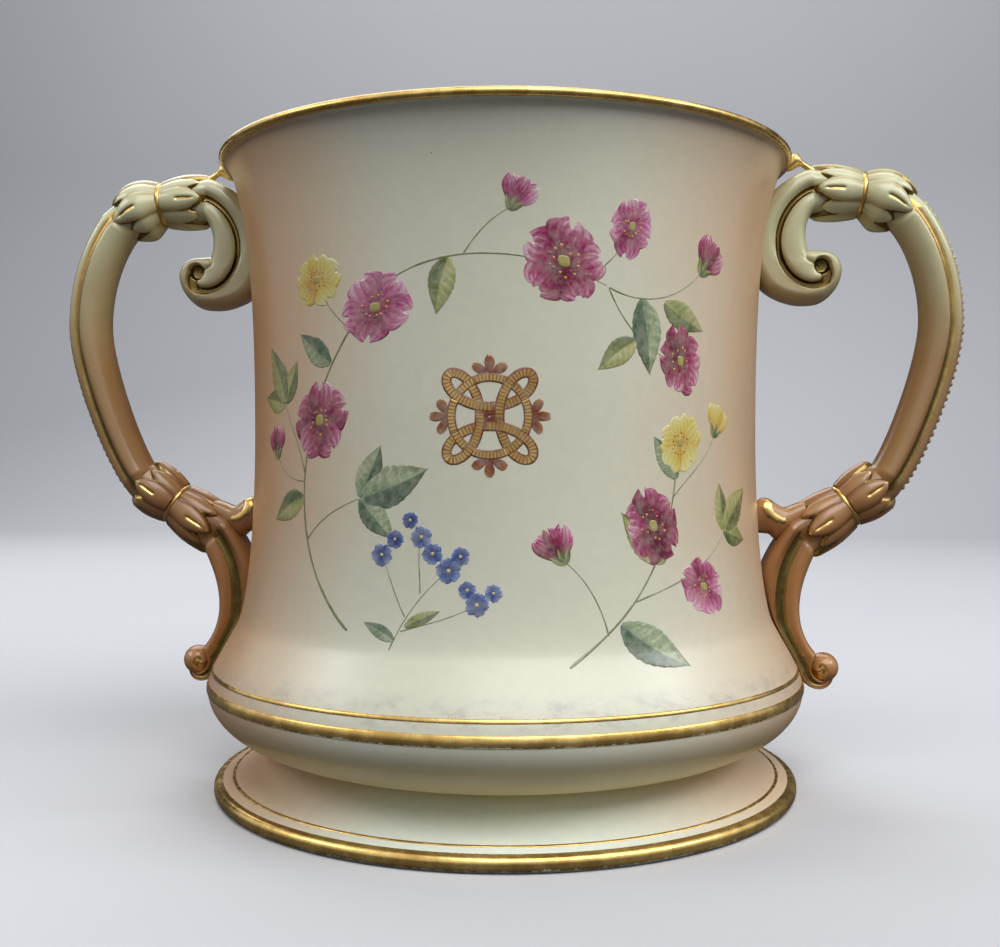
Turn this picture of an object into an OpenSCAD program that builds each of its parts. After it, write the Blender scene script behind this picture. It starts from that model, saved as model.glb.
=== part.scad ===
// Two-handled porcelain loving cup, in millimetres.
// It stands on z = 0 with its axis on Z. The handles lie on +X (right) and -X (left),
// and the front of the cup faces -Y. Handle points are [distance from the axis, height].

/* [Body] */
// Height from the table to the top of the lip
height = 160; // [150:1:172]
// Outside diameter of the rolled lip
rim_d = 146; // [142:0.5:152]
// Thickness of the rolled lip
lip_roll = 1.7; // [1.4:0.1:2.4]
// Outside diameter just under the lip
flare_d = 142; // [136:0.5:144]
// Distance from the top of the lip down to the end of the flare
flare_drop = 2; // [1.5:0.1:4]
// Outside diameter at the waist
waist_d = 129; // [122:0.5:133]
// Height of the waist
waist_z = 92; // [80:0.5:105]
// Outside diameter at the shoulder above the belly
shoulder_d = 137.8; // [134:0.2:142]
// Height of the shoulder
shoulder_z = 43; // [40:0.5:47]
// Outside diameter at the widest part of the belly
belly_d = 152.8; // [148:0.4:160]
// Height of the widest part of the belly
belly_z = 26.8; // [24:0.2:29]
// Thickness of the wall
wall = 4; // [3:0.1:5]
// Thickness of the wall at the lip
lip_wall = 2.2; // [1.8:0.1:3]
// Thickness of the floor
floor_t = 5; // [4:0.1:7]

/* [Foot] */
// Outside diameter of the foot
foot_d = 149.6; // [142:0.4:156]
// Height of the foot up to the seam under the belly
foot_h = 12; // [10.5:0.1:13]
// Height of the upright edge of the foot
foot_edge = 3.6; // [3:0.1:4.4]
// Rounding of the upright edge
foot_round = 0.9; // [0.5:0.1:1.4]
// Diameter of the neck where the foot meets the belly
neck_d = 117; // [110:0.5:120]
// Breadth of the ring that the foot stands on
foot_ring_w = 12; // [8:0.5:14]
// Breadth of the seam between the foot and the belly
seam_w = 5; // [4:0.1:8]

/* [Gilding] */
// Thickness of the fired gold
gilt_t = 0.2; // [0.1:0.05:0.3]
// Breadth of the band around the belly
belly_band_w = 2.6; // [1.5:0.1:3.5]
// Breadth of the thin lines
line_w = 0.9; // [0.5:0.1:1.4]
// Height of the belly line above the widest part of the belly
belly_line_rise = 4.6; // [3:0.1:7]
// Distance of the foot line in from the edge of the foot
foot_line_in = 4.8; // [3:0.1:8]
// Height of the band on the edge of the foot
foot_band_h = 2.8; // [1.5:0.1:2.9]

/* [Handle bow] */
// Distance from the axis of the cup to the outside of the pearls
handle_reach = 117.7; // [114:0.1:124]
// Height of the outermost part of the bow
bow_mid_z = 119.5; // [112:0.5:125]
// Depth of the bow from its inside to its back, at its middle
bow_depth = 10.6; // [9.5:0.1:12]
// Depth of the bow near its lower collar
bow_foot_depth = 9.4; // [8.5:0.1:12]
// Breadth of the bow from front to back
bow_breadth = 13; // [11:0.1:15]
// Depth of the line sunk along each side of the bow
bow_groove = 0.7; // [0.3:0.1:1.1]
// Diameter of the pearls
pearl_d = 1.5; // [1.2:0.1:1.7]
// Distance between the middles of two pearls
pearl_pitch = 1.9; // [1.8:0.1:3]
// Depth of the channel that the pearls lie in
pearl_channel = 1; // [0.6:0.1:1.4]

/* [Handle collars] */
// Diameter of the gilt rings
ring_d = 11.8; // [10:0.1:13]
// Length of the gilt rings
ring_l = 1.2; // [0.8:0.1:2]
// Diameter of a leaf cup at its mouth
mouth_d = 13.6; // [13:0.1:15]
// How far a leaf cup swells past the line from its ring to its mouth
cup_swell = 0.6; // [0.2:0.1:2]
// How far the upper bow cup swells past that line
upper_bow_swell = 1.5; // [0.8:0.1:2.2]
// Depth of the socket in a leaf cup
socket_depth = 4; // [3:0.1:5]
// Thickness of a leaf at the mouth
leaf_t = 1.3; // [1:0.05:1.6]
// Number of leaves around a cup
leaves = 8; // [6:1:10]
// Height of the ridge along each leaf
leaf_ridge = 0.45; // [0:0.05:0.7]
// Length of the leaf tips past the mouth
leaf_tip = 0.9; // [0:0.1:1.6]
// Distance of the upper ring below the top of the lip
upper_drop = 8.2; // [7:0.1:12]
// Gap between the rim and the mouth of the upper scroll cup
upper_stand = 6.8; // [5:0.1:9]
// Length of the upper scroll cup
upper_in_l = 11; // [9:0.1:13]
// Length of the upper bow cup
upper_out_l = 9.8; // [9:0.1:12]
// Height of the lower ring
lower_z = 72; // [66:0.5:78]
// Gap between the wall and the middle of the lower scroll cup's mouth
lower_stand = 12.4; // [11:0.1:15]
// Length of the lower scroll cup
lower_in_l = 11.8; // [9:0.1:13]
// Length of the lower bow cup
lower_out_l = 9.2; // [8.5:0.1:12]

/* [Handle scrolls] */
// Breadth of the upper scroll from front to back
scroll_breadth = 13; // [11:0.1:14]
// Distance of the eye of the volute below the top of the lip
volute_drop = 26.4; // [24:0.2:30]
// Gap between the wall and the eye of the volute
volute_stand = 13.6; // [13:0.1:16]
// Distance from the eye to the groove where the volute starts
volute_r = 11.7; // [10:0.1:12.5]
// Distance from the eye that the groove winds in to
volute_eye = 1.6; // [1.3:0.1:2]
// Breadth of the lower scroll from front to back
bracket_breadth = 11.5; // [10:0.1:13]
// Height at which the lower scroll leaves the wall
bracket_top_z = 56; // [52:0.5:60]
// Depth of the lower scroll where it is slimmest
bracket_slim = 6; // [5:0.1:8]
// Diameter of the ball that ends the lower scroll
knob_d = 7.6; // [6.5:0.1:8.4]
// Height of the ball
knob_z = 30.2; // [28:0.2:33]
// Gap between the wall and the middle of the ball
knob_stand = 7; // [6.4:0.1:8]
// Radius of the curl of the hook
hook_r = 3.2; // [2.6:0.1:3.6]
// Thickness of the hook
hook_t = 3.4; // [2.4:0.1:3.8]
// Breadth of the hook from front to back
hook_breadth = 8.5; // [6:0.1:10]
// Thickness of the leaf tip that reaches to the rim
tip_t = 2.4; // [1.6:0.1:3]

/* [Joints] */
// Gap left for the slip in a luted joint
joint_gap = 0.1; // [0.05:0.05:0.2]

/* [Hidden] */
ivory = "#ece6d6";
blush = "#dfbf9f";
gold = "#c9a24b";

// Angles of the collars, up from level, seen from the front of the right handle
upper_ring_tilt = -8;
upper_bow_tilt = -36;
upper_scroll_tilt = 181;
lower_tilt = 34;

rim_r = rim_d / 2;
flare_r = flare_d / 2;
flare_z = height - flare_drop;
waist_r = waist_d / 2;
shoulder_r = shoulder_d / 2;
belly_r = belly_d / 2;
neck_r = neck_d / 2;
foot_r = foot_d / 2;
floor_z = foot_h + floor_t;
lip_r = lip_roll / 2;
lip_c = [rim_r - lip_r, height - lip_r];

function dir(a) = [cos(a), sin(a)];
function mix(a, b, t) = a + (b - a) * t;
function clamp(t) = max(0, min(1, t));
function mean(ps) = [for (p = ps) 1] * ps / len(ps);
function rest(ps) = [for (i = [1:len(ps) - 1]) ps[i]];
function back(ps) = [for (i = [len(ps) - 1:-1:0]) ps[i]];

// Point on a curve with four control points, and the curve as a list of points
function curve_at(k, t) =
    pow(1 - t, 3) * k[0] + 3 * t * pow(1 - t, 2) * k[1]
    + 3 * t * t * (1 - t) * k[2] + pow(t, 3) * k[3];
function curve(k, n) = [for (i = [0:n]) curve_at(k, i / n)];

// Curves of the wall from the neck to the lip, drawn in by t for the inside of the wall
function under_curve() = [
    [neck_r, foot_h],
    [mix(neck_r, belly_r, 0.54), mix(foot_h, belly_z, 0.1)],
    [belly_r, mix(foot_h, belly_z, 0.51)],
    [belly_r, belly_z]];
function shoulder_curve(t) = [
    [belly_r - t, belly_z],
    [belly_r - t, mix(belly_z, shoulder_z, 0.26)],
    [mix(waist_r, shoulder_r, 1.75) - t, mix(belly_z, shoulder_z, 0.59)],
    [shoulder_r - t, shoulder_z]];
function flare_curve(t) = [
    [shoulder_r - t, shoulder_z],
    [mix(waist_r, shoulder_r, 0.5) - t, mix(shoulder_z, waist_z, 0.1)],
    [waist_r - t, mix(shoulder_z, waist_z, 0.47)],
    [waist_r - t, waist_z]];
function upper_curve(t, lip_t) = [
    [waist_r - t, waist_z],
    [waist_r - t, mix(waist_z, flare_z, 0.4)],
    [mix(waist_r, flare_r, 0.1) - t, mix(waist_z, flare_z, 0.79)],
    [flare_r - lip_t, flare_z]];
function floor_curve() = [
    [neck_r - wall, floor_z],
    [mix(neck_r, belly_r, 0.6) - wall, floor_z],
    [belly_r - wall, mix(floor_z, belly_z, 0.5)],
    [belly_r - wall, belly_z]];

outer_wall = concat(
    curve(under_curve(), 12),
    rest(curve(shoulder_curve(0), 12)),
    rest(curve(flare_curve(0), 12)),
    rest(curve(upper_curve(0, 0), 16)));
inner_wall = concat(
    curve(floor_curve(), 10),
    rest(curve(shoulder_curve(wall), 10)),
    rest(curve(flare_curve(wall), 10)),
    rest(curve(upper_curve(wall, lip_wall), 14)));
wall_table = [for (p = outer_wall) [p.y, p.x]];
function wall_r(z) = lookup(z, wall_table);

// Half section of the cup wall and of the foot
module wall_section() {
    polygon(concat(
        [[0, foot_h]],
        outer_wall,
        [lip_c],
        back(inner_wall),
        [[0, floor_z]]));
    translate(lip_c) circle(r = lip_r);
}

function arc(c, r, a0, a1, n) = [for (i = [0:n]) c + r * dir(mix(a0, a1, i / n))];

module foot_section() {
    polygon(concat(
        arc([foot_r - foot_round, foot_round], foot_round, -90, 0, 6),
        arc([foot_r - foot_round, foot_edge - foot_round], foot_round, 0, 90, 6),
        rest(curve([
            [foot_r - foot_round, foot_edge],
            [mix(foot_r, neck_r, 0.48), mix(foot_edge, foot_h, 0.15)],
            [mix(foot_r, neck_r, 0.85), mix(foot_edge, foot_h, 0.46)],
            [neck_r, foot_h]], 12)),
        [[neck_r - seam_w, foot_h]],
        [[neck_r - seam_w, mix(foot_edge, foot_h, 0.5)]],
        [[foot_r - foot_round - foot_ring_w, 0]]));
}

// Skin of gold on the outside of a section, between two heights
module gilt_skin(z0, z1) {
    rotate_extrude()
        intersection() {
            difference() {
                translate([gilt_t, 0]) children();
                children();
            }
            translate([0, z0]) square([belly_d, z1 - z0]);
        }
}

module body() {
    color(ivory) rotate_extrude() wall_section();
}

module foot() {
    color(ivory) rotate_extrude() foot_section();
}

module rim_gilding() {
    color(gold)
        rotate_extrude()
            difference() {
                translate(lip_c) circle(r = lip_r + gilt_t);
                wall_section();
            }
}

module belly_gilt_line() {
    z = belly_z + belly_line_rise;
    color(gold) gilt_skin(z - line_w / 2, z + line_w / 2) wall_section();
}

module belly_gilt_band() {
    z = belly_z + belly_band_w / 4;
    color(gold) gilt_skin(z - belly_band_w / 2, z + belly_band_w / 2) wall_section();
}

module foot_gilt_line() {
    r = foot_r - foot_line_in;
    color(gold)
        rotate_extrude()
            intersection() {
                difference() {
                    translate([0, gilt_t]) foot_section();
                    foot_section();
                }
                translate([r - line_w / 2, 0]) square([line_w, foot_h]);
            }
}

module foot_gilt_band() {
    z = foot_edge / 2;
    color(gold) gilt_skin(z - foot_band_h / 2, z + foot_band_h / 2) foot_section();
}

// Handles. A point [distance, height] in the plane of the right handle goes to
// space at y from that plane, and no nearer the wall than its joint.
wall_gap = gilt_t + joint_gap;
function place(p, y) = [p.x, y, p.y];
function seat(q) =
    let (w = wall_r(q.z) + wall_gap)
    norm([q.x, q.y]) < w ? [sqrt(w * w - q.y * q.y), q.y, q.z] : q;

// Closed skin through rings of equal length, each turning clockwise about the way ahead
module skin(rings) {
    n = len(rings[0]);
    m = len(rings);
    sides = [for (j = [0:m - 2], i = [0:n - 1])
        let (a = j * n + i, b = j * n + (i + 1) % n)
        each [[a, b, b + n], [a, b + n, a + n]]];
    ends = [for (i = [0:n - 1])
        let (k = (i + 1) % n)
        each [[m * n, k, i], [m * n + 1, (m - 1) * n + i, (m - 1) * n + k]]];
    polyhedron(
        concat([for (r = rings) each r], [mean(rings[0]), mean(rings[m - 1])]),
        concat(sides, ends));
}

// Collars: each leaf cup runs from the end of its ring to its mouth along a bent axis
ring_r = ring_d / 2;
mouth_r = mouth_d / 2;
socket_r = mouth_r - leaf_t;
tenon_r = socket_r - joint_gap;

function bent_end(c, a0, a1, l) = c + ring_l / 2 * dir(a0) + l * dir((a0 + a1) / 2);

upper_c = [
    rim_r + upper_stand + upper_in_l + ring_l / 2,
    height - upper_drop];
upper_out = bent_end(upper_c, upper_ring_tilt, upper_bow_tilt, upper_out_l);
upper_in = bent_end(upper_c, upper_ring_tilt + 180, upper_scroll_tilt, upper_in_l);
lower_drop = (lower_in_l + ring_l / 2) * sin(lower_tilt);
lower_in = [wall_r(lower_z - lower_drop) + lower_stand, lower_z - lower_drop];
lower_c = lower_in + (lower_in_l + ring_l / 2) * dir(lower_tilt);
lower_out = bent_end(lower_c, lower_tilt, lower_tilt, lower_out_l);

sides_per_leaf = 4;
cup_steps = 6;
cup_sides = leaves * sides_per_leaf;

// Ring of leaf points about p, facing a, with its ridges and its tips raised
function leaf_ring(p, a, r, ridge, tip) =
    [for (i = [0:cup_sides - 1])
        let (w = 360 * i / cup_sides,
             crest = cos(w * leaves),
             rr = r + ridge * crest)
        place(
            p + tip * max(0, crest) * dir(a) + rr * cos(w) * dir(a - 90),
            -rr * sin(w))];
function cup_ring(c, a0, a1, l, swell, s) =
    let (p0 = c + ring_l / 2 * dir(a0),
         p1 = p0 + l / 2 * dir(a0),
         p2 = bent_end(c, a0, a1, l),
         p = pow(1 - s, 2) * p0 + 2 * s * (1 - s) * p1 + s * s * p2,
         r = mix(ring_r, mouth_r, s) + swell * sin(180 * s))
    leaf_ring(p, mix(a0, a1, s), r, leaf_ridge * sin(90 * s), leaf_tip * pow(s, 4));

module leaf_cup(c, a0, a1, l, swell) {
    mouth = bent_end(c, a0, a1, l);
    color(blush)
        skin(concat(
            [for (j = [0:cup_steps]) cup_ring(c, a0, a1, l, swell, j / cup_steps)],
            [leaf_ring(mouth, a1, socket_r, 0, leaf_tip)],
            [leaf_ring(mouth - socket_depth * dir(a1), a1, socket_r, 0, 0)]));
}

module gilt_ring(c, a) {
    color(gold)
        translate(place(c, 0))
            rotate([0, 90 - a, 0])
                cylinder(d = ring_d, h = ring_l, center = true, $fn = 64);
}

module upper_bow_cup() {
    leaf_cup(upper_c, upper_ring_tilt, upper_bow_tilt, upper_out_l, upper_bow_swell);
}

module upper_ring() {
    gilt_ring(upper_c, upper_ring_tilt);
}

module upper_scroll_cup() {
    leaf_cup(upper_c, upper_ring_tilt + 180, upper_scroll_tilt, upper_in_l, cup_swell);
}

module lower_bow_cup() {
    leaf_cup(lower_c, lower_tilt, lower_tilt, lower_out_l, cup_swell);
}

module lower_ring() {
    gilt_ring(lower_c, lower_tilt);
}

module lower_scroll_cup() {
    leaf_cup(lower_c, lower_tilt + 180, lower_tilt + 180, lower_in_l, cup_swell);
}

// Bow: a round tenon in each socket, then the full section with its pearl channel
bow_sides = 24;
bow_side = 360 / bow_sides;
bow_steps = 20;
rail_y = bow_breadth / 2 * sin(bow_side);

// Depth of the bow at a height, and where a pearl lies in the channel of that depth
function depth_at(z) =
    mix(bow_foot_depth, bow_depth, sin(90 * clamp((z - lower_out.y) / (bow_mid_z - lower_out.y))));
function pearl_n(depth) =
    let (channel_n = depth / 2 - pearl_channel,
         rail_n = depth / 2 * cos(bow_side))
    channel_n + (pearl_d / 2 + joint_gap) / sin(atan2(rail_y, rail_n - channel_n));
bow_mid = [handle_reach - pearl_n(bow_depth) - pearl_d / 2, bow_mid_z];
tenon_l = socket_depth - joint_gap;
upper_tip = upper_out + leaf_tip * dir(upper_bow_tilt);
lower_tip = lower_out + leaf_tip * dir(lower_tilt);

bow_top = [
    upper_tip,
    upper_tip + socket_depth * dir(upper_bow_tilt),
    [bow_mid.x, mix(bow_mid_z, upper_tip.y, 0.53)],
    bow_mid];
bow_foot = [
    bow_mid,
    [bow_mid.x, mix(bow_mid_z, lower_tip.y, 0.3)],
    lower_tip + socket_depth * 1.25 * dir(lower_tilt),
    lower_tip];
bow_path = concat(
    [upper_out - tenon_l * dir(upper_bow_tilt)],
    curve(bow_top, bow_steps),
    rest(curve(bow_foot, bow_steps)),
    [lower_out - tenon_l * dir(lower_tilt)]);
bow_last = len(bow_path) - 1;

// Share of the full section that the bow has at a point: none in a socket
function bow_share(p) = clamp(min(
    (p - upper_tip) * dir(upper_bow_tilt) + max(0, upper_tip.y - p.y),
    (p - lower_tip) * dir(lower_tilt) + max(0, p.y - lower_tip.y)) / socket_depth);
function bow_ahead(i) =
    let (d = bow_path[min(i + 1, bow_last)] - bow_path[max(i - 1, 0)])
    d / norm(d);
function outward(d) = [-d.y, d.x];
function bow_ring(i) =
    let (p = bow_path[i], n = outward(bow_ahead(i)), m = bow_share(p))
    [for (k = [0:bow_sides - 1])
        let (a = k * bow_side,
             sunk = abs(cos(a) - 0.5) < 0.01 ? 1 - 2 * bow_groove / bow_breadth : 1,
             full = [
                 sunk * depth_at(p.y) / 2 * cos(a) - (k == 0 ? pearl_channel : 0),
                 sunk * bow_breadth / 2 * sin(a)],
             q = mix(tenon_r * dir(a), full, m))
        place(p + q.x * n, q.y)];

module bow() {
    color(blush) skin([for (i = [0:bow_last]) bow_ring(i)]);
}

// Pearls: evenly spaced along the back of the bow, clear of both leaf cups
bow_length = [for (i = 0, s = 0; i <= bow_last;
    s = s + norm(bow_path[min(i + 1, bow_last)] - bow_path[i]), i = i + 1) s];
function bow_at(s) = [
    lookup(s, [for (i = [0:bow_last]) [bow_length[i], bow_path[i].x]]),
    lookup(s, [for (i = [0:bow_last]) [bow_length[i], bow_path[i].y]])];
pearl_from = tenon_l + leaf_tip + socket_depth + pearl_pitch / 2;
pearl_to = bow_length[bow_last] - pearl_from;

module pearls() {
    color(ivory)
        for (s = [pearl_from:pearl_pitch:pearl_to]) {
            p = bow_at(s);
            d = bow_at(s + pearl_d) - bow_at(s - pearl_d);
            translate(place(p + pearl_n(depth_at(p.y)) * outward(d / norm(d)), 0))
                sphere(d = pearl_d, $fn = 24);
        }
}

// Scrolls: a ring runs from one edge to the other over two reeds with a groove between
reeds = [[0, 0.7], [0.1, 0.9], [0.25, 0.97], [0.42, 0.8], [0.68, 1], [0.88, 0.92], [1, 0.72]];
reed_last = len(reeds) - 1;
function reed_at(i, m, half) =
    let (w = 15 + 150 * i / reed_last)
    mix([(1 - cos(w)) / 2, tenon_r * sin(w)], [reeds[i].x, half * reeds[i].y], m);
function reed_ring(a, b, half, m) =
    let (row = [for (i = [0:reed_last]) reed_at(i, m, half)])
    concat(
        [for (q = row) seat(place(mix(a, b, q.x), q.y))],
        [for (q = back(row)) seat(place(mix(a, b, q.x), -q.y))]);

// Upper scroll: down from its socket, then a volute that winds in about its eye
volute_z = height - volute_drop;
eye = [wall_r(volute_z) + volute_stand, volute_z];
volute_from = 150;
volute_to = 470;
volute_rate = 0.56;
reed_out = 1.83;
reed_in = 0.4;
function groove_r(w) =
    volute_eye + (volute_r - volute_eye) * exp(-volute_rate * (w - volute_from) * PI / 180);
volute_start = eye + volute_r * dir(volute_from);
scroll_tip = upper_in + leaf_tip * dir(upper_scroll_tilt);
scroll_curve = [
    scroll_tip,
    scroll_tip + socket_depth * 0.62 * dir(upper_scroll_tilt),
    volute_start + [volute_eye / 2, volute_r * 0.62],
    volute_start];
scroll_steps = 16;
function scroll_ring(t) =
    let (p = curve_at(scroll_curve, t),
         d = dir(mix(upper_scroll_tilt - 90, volute_from, t)),
         m = clamp((p - scroll_tip) * dir(upper_scroll_tilt) / socket_depth),
         out = mix(tenon_r, volute_r * (reed_out - 1), pow(t, 3)),
         in = mix(tenon_r, volute_r * (1 - reed_in), t))
    reed_ring(p - in * d, p + out * d, scroll_breadth / 2, m);
function scroll_tenon() =
    let (p = upper_in - tenon_l * dir(upper_scroll_tilt), d = dir(upper_scroll_tilt - 90))
    reed_ring(p - tenon_r * d, p + tenon_r * d, tenon_r, 0);
function volute_ring(w) =
    reed_ring(
        eye + reed_in * groove_r(w) * dir(w),
        eye + reed_out * groove_r(w) * dir(w),
        scroll_breadth / 2, 1);

module upper_scroll() {
    color(blush)
        skin(concat(
            [scroll_tenon()],
            [for (i = [0:scroll_steps]) scroll_ring(i / scroll_steps)],
            [for (w = [volute_from + 10:10:volute_to]) volute_ring(w)]));
}

// Leaf tip: from the top leaf of the upper scroll cup to the gilt rim
tip_r = tip_t / 2;
tip_sides = 12;
tip_end = lip_c + (lip_r + gilt_t + joint_gap + tip_r) * dir(40);
tip_start = upper_in + [-leaf_tip - joint_gap, (mouth_r + socket_r) / 2];
tip_curve = [
    tip_start,
    tip_start + [-tip_t / 2, 0],
    tip_end + [tip_t, tip_t / 3],
    tip_end];
function tip_ring(t, r) =
    let (p = curve_at(tip_curve, t),
         d = curve_at(tip_curve, min(1, t + 0.02)) - curve_at(tip_curve, max(0, t - 0.02)),
         n = outward(d / norm(d)))
    [for (k = [0:tip_sides - 1])
        let (q = r * dir(360 * k / tip_sides))
        place(p + q.x * n, 1.5 * q.y)];

module rim_tip() {
    steps = 8;
    color(gold)
        skin(concat(
            [for (i = [0:steps]) tip_ring(i / steps, mix(leaf_t / 2, tip_r, sin(90 * i / steps)))],
            [for (a = [30:30:60]) [for (q = tip_ring(1, tip_r * cos(a)))
                q + place(tip_r * sin(a) * dir(185), 0)]]));
}

// Lower scroll: from its socket to the wall, down the flare and under the ball
knob_r = knob_d / 2;
knob_c = [wall_r(knob_z) + knob_stand, knob_z];
bracket_start = lower_in - leaf_tip * dir(lower_tilt);
free_start = bracket_start + tenon_r * dir(lower_tilt - 90);
wall_start = bracket_start - tenon_r * dir(lower_tilt - 90);
curl_from = 121;
curl_to = 262;
free_end = knob_c + (knob_r + bracket_slim / 6) * dir(curl_from);
slim_z = mix(bracket_top_z, knob_z, 0.55);
free_curve = [
    free_start,
    [wall_r(slim_z) + bracket_slim * 1.25, mix(bracket_top_z, slim_z, 0.3)],
    [wall_r(slim_z) + bracket_slim * 0.85, slim_z],
    free_end];
leave = [wall_r(bracket_top_z) + wall_gap, bracket_top_z];
wall_curve = [
    wall_start,
    wall_start + socket_depth * dir(lower_tilt + 205),
    leave + [socket_depth * 0.8, socket_depth * 1.8],
    leave];
leave_share = 0.3;
bracket_end_z = knob_z - knob_r / 2;
bracket_steps = 24;
function bracket_wall(t) =
    t < leave_share
        ? curve_at(wall_curve, t / leave_share)
        : let (z = mix(bracket_top_z, bracket_end_z, (t - leave_share) / (1 - leave_share)))
          [wall_r(z) + wall_gap, z];
function bracket_half(t) = bracket_breadth / 2 * mix(1, 0.8, t);
function bracket_ring(t) =
    reed_ring(curve_at(free_curve, t), bracket_wall(t), bracket_half(t), clamp(t * 8));
tenon_shift = (tenon_l + leaf_tip) * dir(lower_tilt);
function curl_ring(t) =
    let (b = bracket_wall(1) - knob_c,
         near = norm(free_end - knob_c),
         wide = norm(b),
         turn = 360 + atan2(b.y, b.x))
    reed_ring(
        knob_c + mix(near, knob_r + joint_gap, sqrt(t)) * dir(mix(curl_from, curl_to, t)),
        knob_c + mix(wide, knob_r * 1.22, t) * dir(mix(turn, curl_to, t)),
        bracket_half(1), 1);

module lower_scroll() {
    color(blush)
        skin(concat(
            [reed_ring(free_start + tenon_shift, wall_start + tenon_shift, tenon_r, 0)],
            [for (i = [0:bracket_steps]) bracket_ring(i / bracket_steps)],
            [for (i = [1:6]) curl_ring(i / 6)]));
}

module knob() {
    color(blush) translate(place(knob_c, 0)) sphere(d = knob_d, $fn = 48);
}

// Hook: a curl that leaves the lower scroll and lies against the wall
hook_share = 0.42;
hook_rail = curve_at(wall_curve, hook_share);
rail_ahead = curve_at(wall_curve, hook_share + 0.01) - curve_at(wall_curve, hook_share - 0.01);
rail_out = outward(rail_ahead / norm(rail_ahead));
hook_z = hook_rail.y + hook_r;
hook_c = [wall_r(hook_z) + wall_gap + hook_t / 2 + hook_r, hook_z];

// Distance from the rail at which the root of the hook just clears it, closed in on in k steps
function root_at(off) = hook_rail - off * rail_out - hook_c;
function root_off(off, k) =
    k == 0
        ? off
        : root_off(hook_t / 2 * abs(root_at(off) * rail_out) / norm(root_at(off)) + joint_gap, k - 1);
hook_in = root_at(root_off(hook_t / 2, 8));
hook_from = 360 + atan2(hook_in.y, hook_in.x);
hook_to = 95;
hook_sides = 12;
function hook_ring(t) =
    let (w = mix(hook_from, hook_to, t),
         bend = mix(norm(hook_in), hook_r, clamp(3 * t)),
         thick = mix(1, 0.45, t * t))
    [for (k = [0:hook_sides - 1])
        let (q = thick * dir(360 * k / hook_sides))
        seat(place(hook_c + (bend + hook_t / 2 * q.x) * dir(w), hook_breadth / 2 * q.y))];

module hook() {
    steps = 14;
    color(gold) skin([for (i = [0:steps]) hook_ring(i / steps)]);
}

// The left handle is the right one turned about the axis of the cup
module left() {
    rotate([0, 0, 180]) children();
}

body();
foot();
rim_gilding();
belly_gilt_line();
belly_gilt_band();
foot_gilt_line();
foot_gilt_band();
bow();  // right_bow
pearls();  // right_pearls
upper_bow_cup();  // right_upper_bow_cup
upper_ring();  // right_upper_ring
upper_scroll_cup();  // right_upper_scroll_cup
upper_scroll();  // right_upper_scroll
rim_tip();  // right_rim_tip
lower_bow_cup();  // right_lower_bow_cup
lower_ring();  // right_lower_ring
lower_scroll_cup();  // right_lower_scroll_cup
lower_scroll();  // right_lower_scroll
knob();  // right_knob
hook();  // right_hook
left() bow();  // left_bow
left() pearls();  // left_pearls
left() upper_bow_cup();  // left_upper_bow_cup
left() upper_ring();  // left_upper_ring
left() upper_scroll_cup();  // left_upper_scroll_cup
left() upper_scroll();  // left_upper_scroll
left() rim_tip();  // left_rim_tip
left() lower_bow_cup();  // left_lower_bow_cup
left() lower_ring();  // left_lower_ring
left() lower_scroll_cup();  // left_lower_scroll_cup
left() lower_scroll();  // left_lower_scroll
left() knob();  // left_knob
left() hook();  // left_hook
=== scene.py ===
import math

import bmesh
import bpy
import numpy as np
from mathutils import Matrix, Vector


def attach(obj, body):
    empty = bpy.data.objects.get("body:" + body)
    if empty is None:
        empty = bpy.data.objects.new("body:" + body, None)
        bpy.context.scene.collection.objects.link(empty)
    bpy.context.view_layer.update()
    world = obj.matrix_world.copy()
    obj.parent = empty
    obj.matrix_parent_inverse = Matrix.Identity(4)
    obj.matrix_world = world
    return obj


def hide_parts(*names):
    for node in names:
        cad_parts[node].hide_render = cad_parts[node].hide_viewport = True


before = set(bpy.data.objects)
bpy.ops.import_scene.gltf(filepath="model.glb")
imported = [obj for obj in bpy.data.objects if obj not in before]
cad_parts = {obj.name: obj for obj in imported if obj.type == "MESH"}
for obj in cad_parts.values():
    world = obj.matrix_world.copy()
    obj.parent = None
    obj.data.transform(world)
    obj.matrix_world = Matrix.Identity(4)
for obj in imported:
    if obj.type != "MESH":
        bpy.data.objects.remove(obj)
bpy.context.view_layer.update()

# Cup body: one waisted porcelain wall with a rolled lip, cast in a mould and turned smooth.
# A blush ground is sprayed on from the two handles and fades to ivory at the front and back,
# and a clear glaze is fired over it. Lengths are in millimetres until a mesh is made.
MM = 0.001
LIP = (72.15, 159.15)
LIP_R = 0.85
FLARE = (71.0, 158.0)
WAIST = (64.5, 92.0)
SHOULDER = (68.9, 43.0)
BELLY = (76.4, 26.8)
NECK = (58.5, 12.0)
WALL_T = 4.0
LIP_T = 2.2
FLOOR_Z = 17.0
IVORY = (227, 226, 205)
BLUSH = (214, 164, 115)
SMOKE = (168, 160, 158)
SPECK = (92, 70, 48)
SHADE_OCHRE = (206, 188, 122)


def mix(a, b, t):
    return a + (b - a) * t


def smooth(t, lo=0.0, hi=1.0):
    t = np.clip((np.asarray(t, float) - lo) / (hi - lo), 0, 1)
    return t * t * (3 - 2 * t)


def bezier(knots, steps):
    k = np.asarray(knots, float)
    t = np.linspace(0, 1, steps + 1)[:, None]
    return (1 - t) ** 3 * k[0] + 3 * t * (1 - t) ** 2 * k[1] + 3 * t * t * (1 - t) * k[2] + t ** 3 * k[3]


def circle(a):
    return np.stack([np.cos(a), np.sin(a)], -1)


def arc(centre, r, a0, a1, steps):
    return np.asarray(centre) + r * circle(np.radians(np.linspace(a0, a1, steps + 1)))


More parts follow.
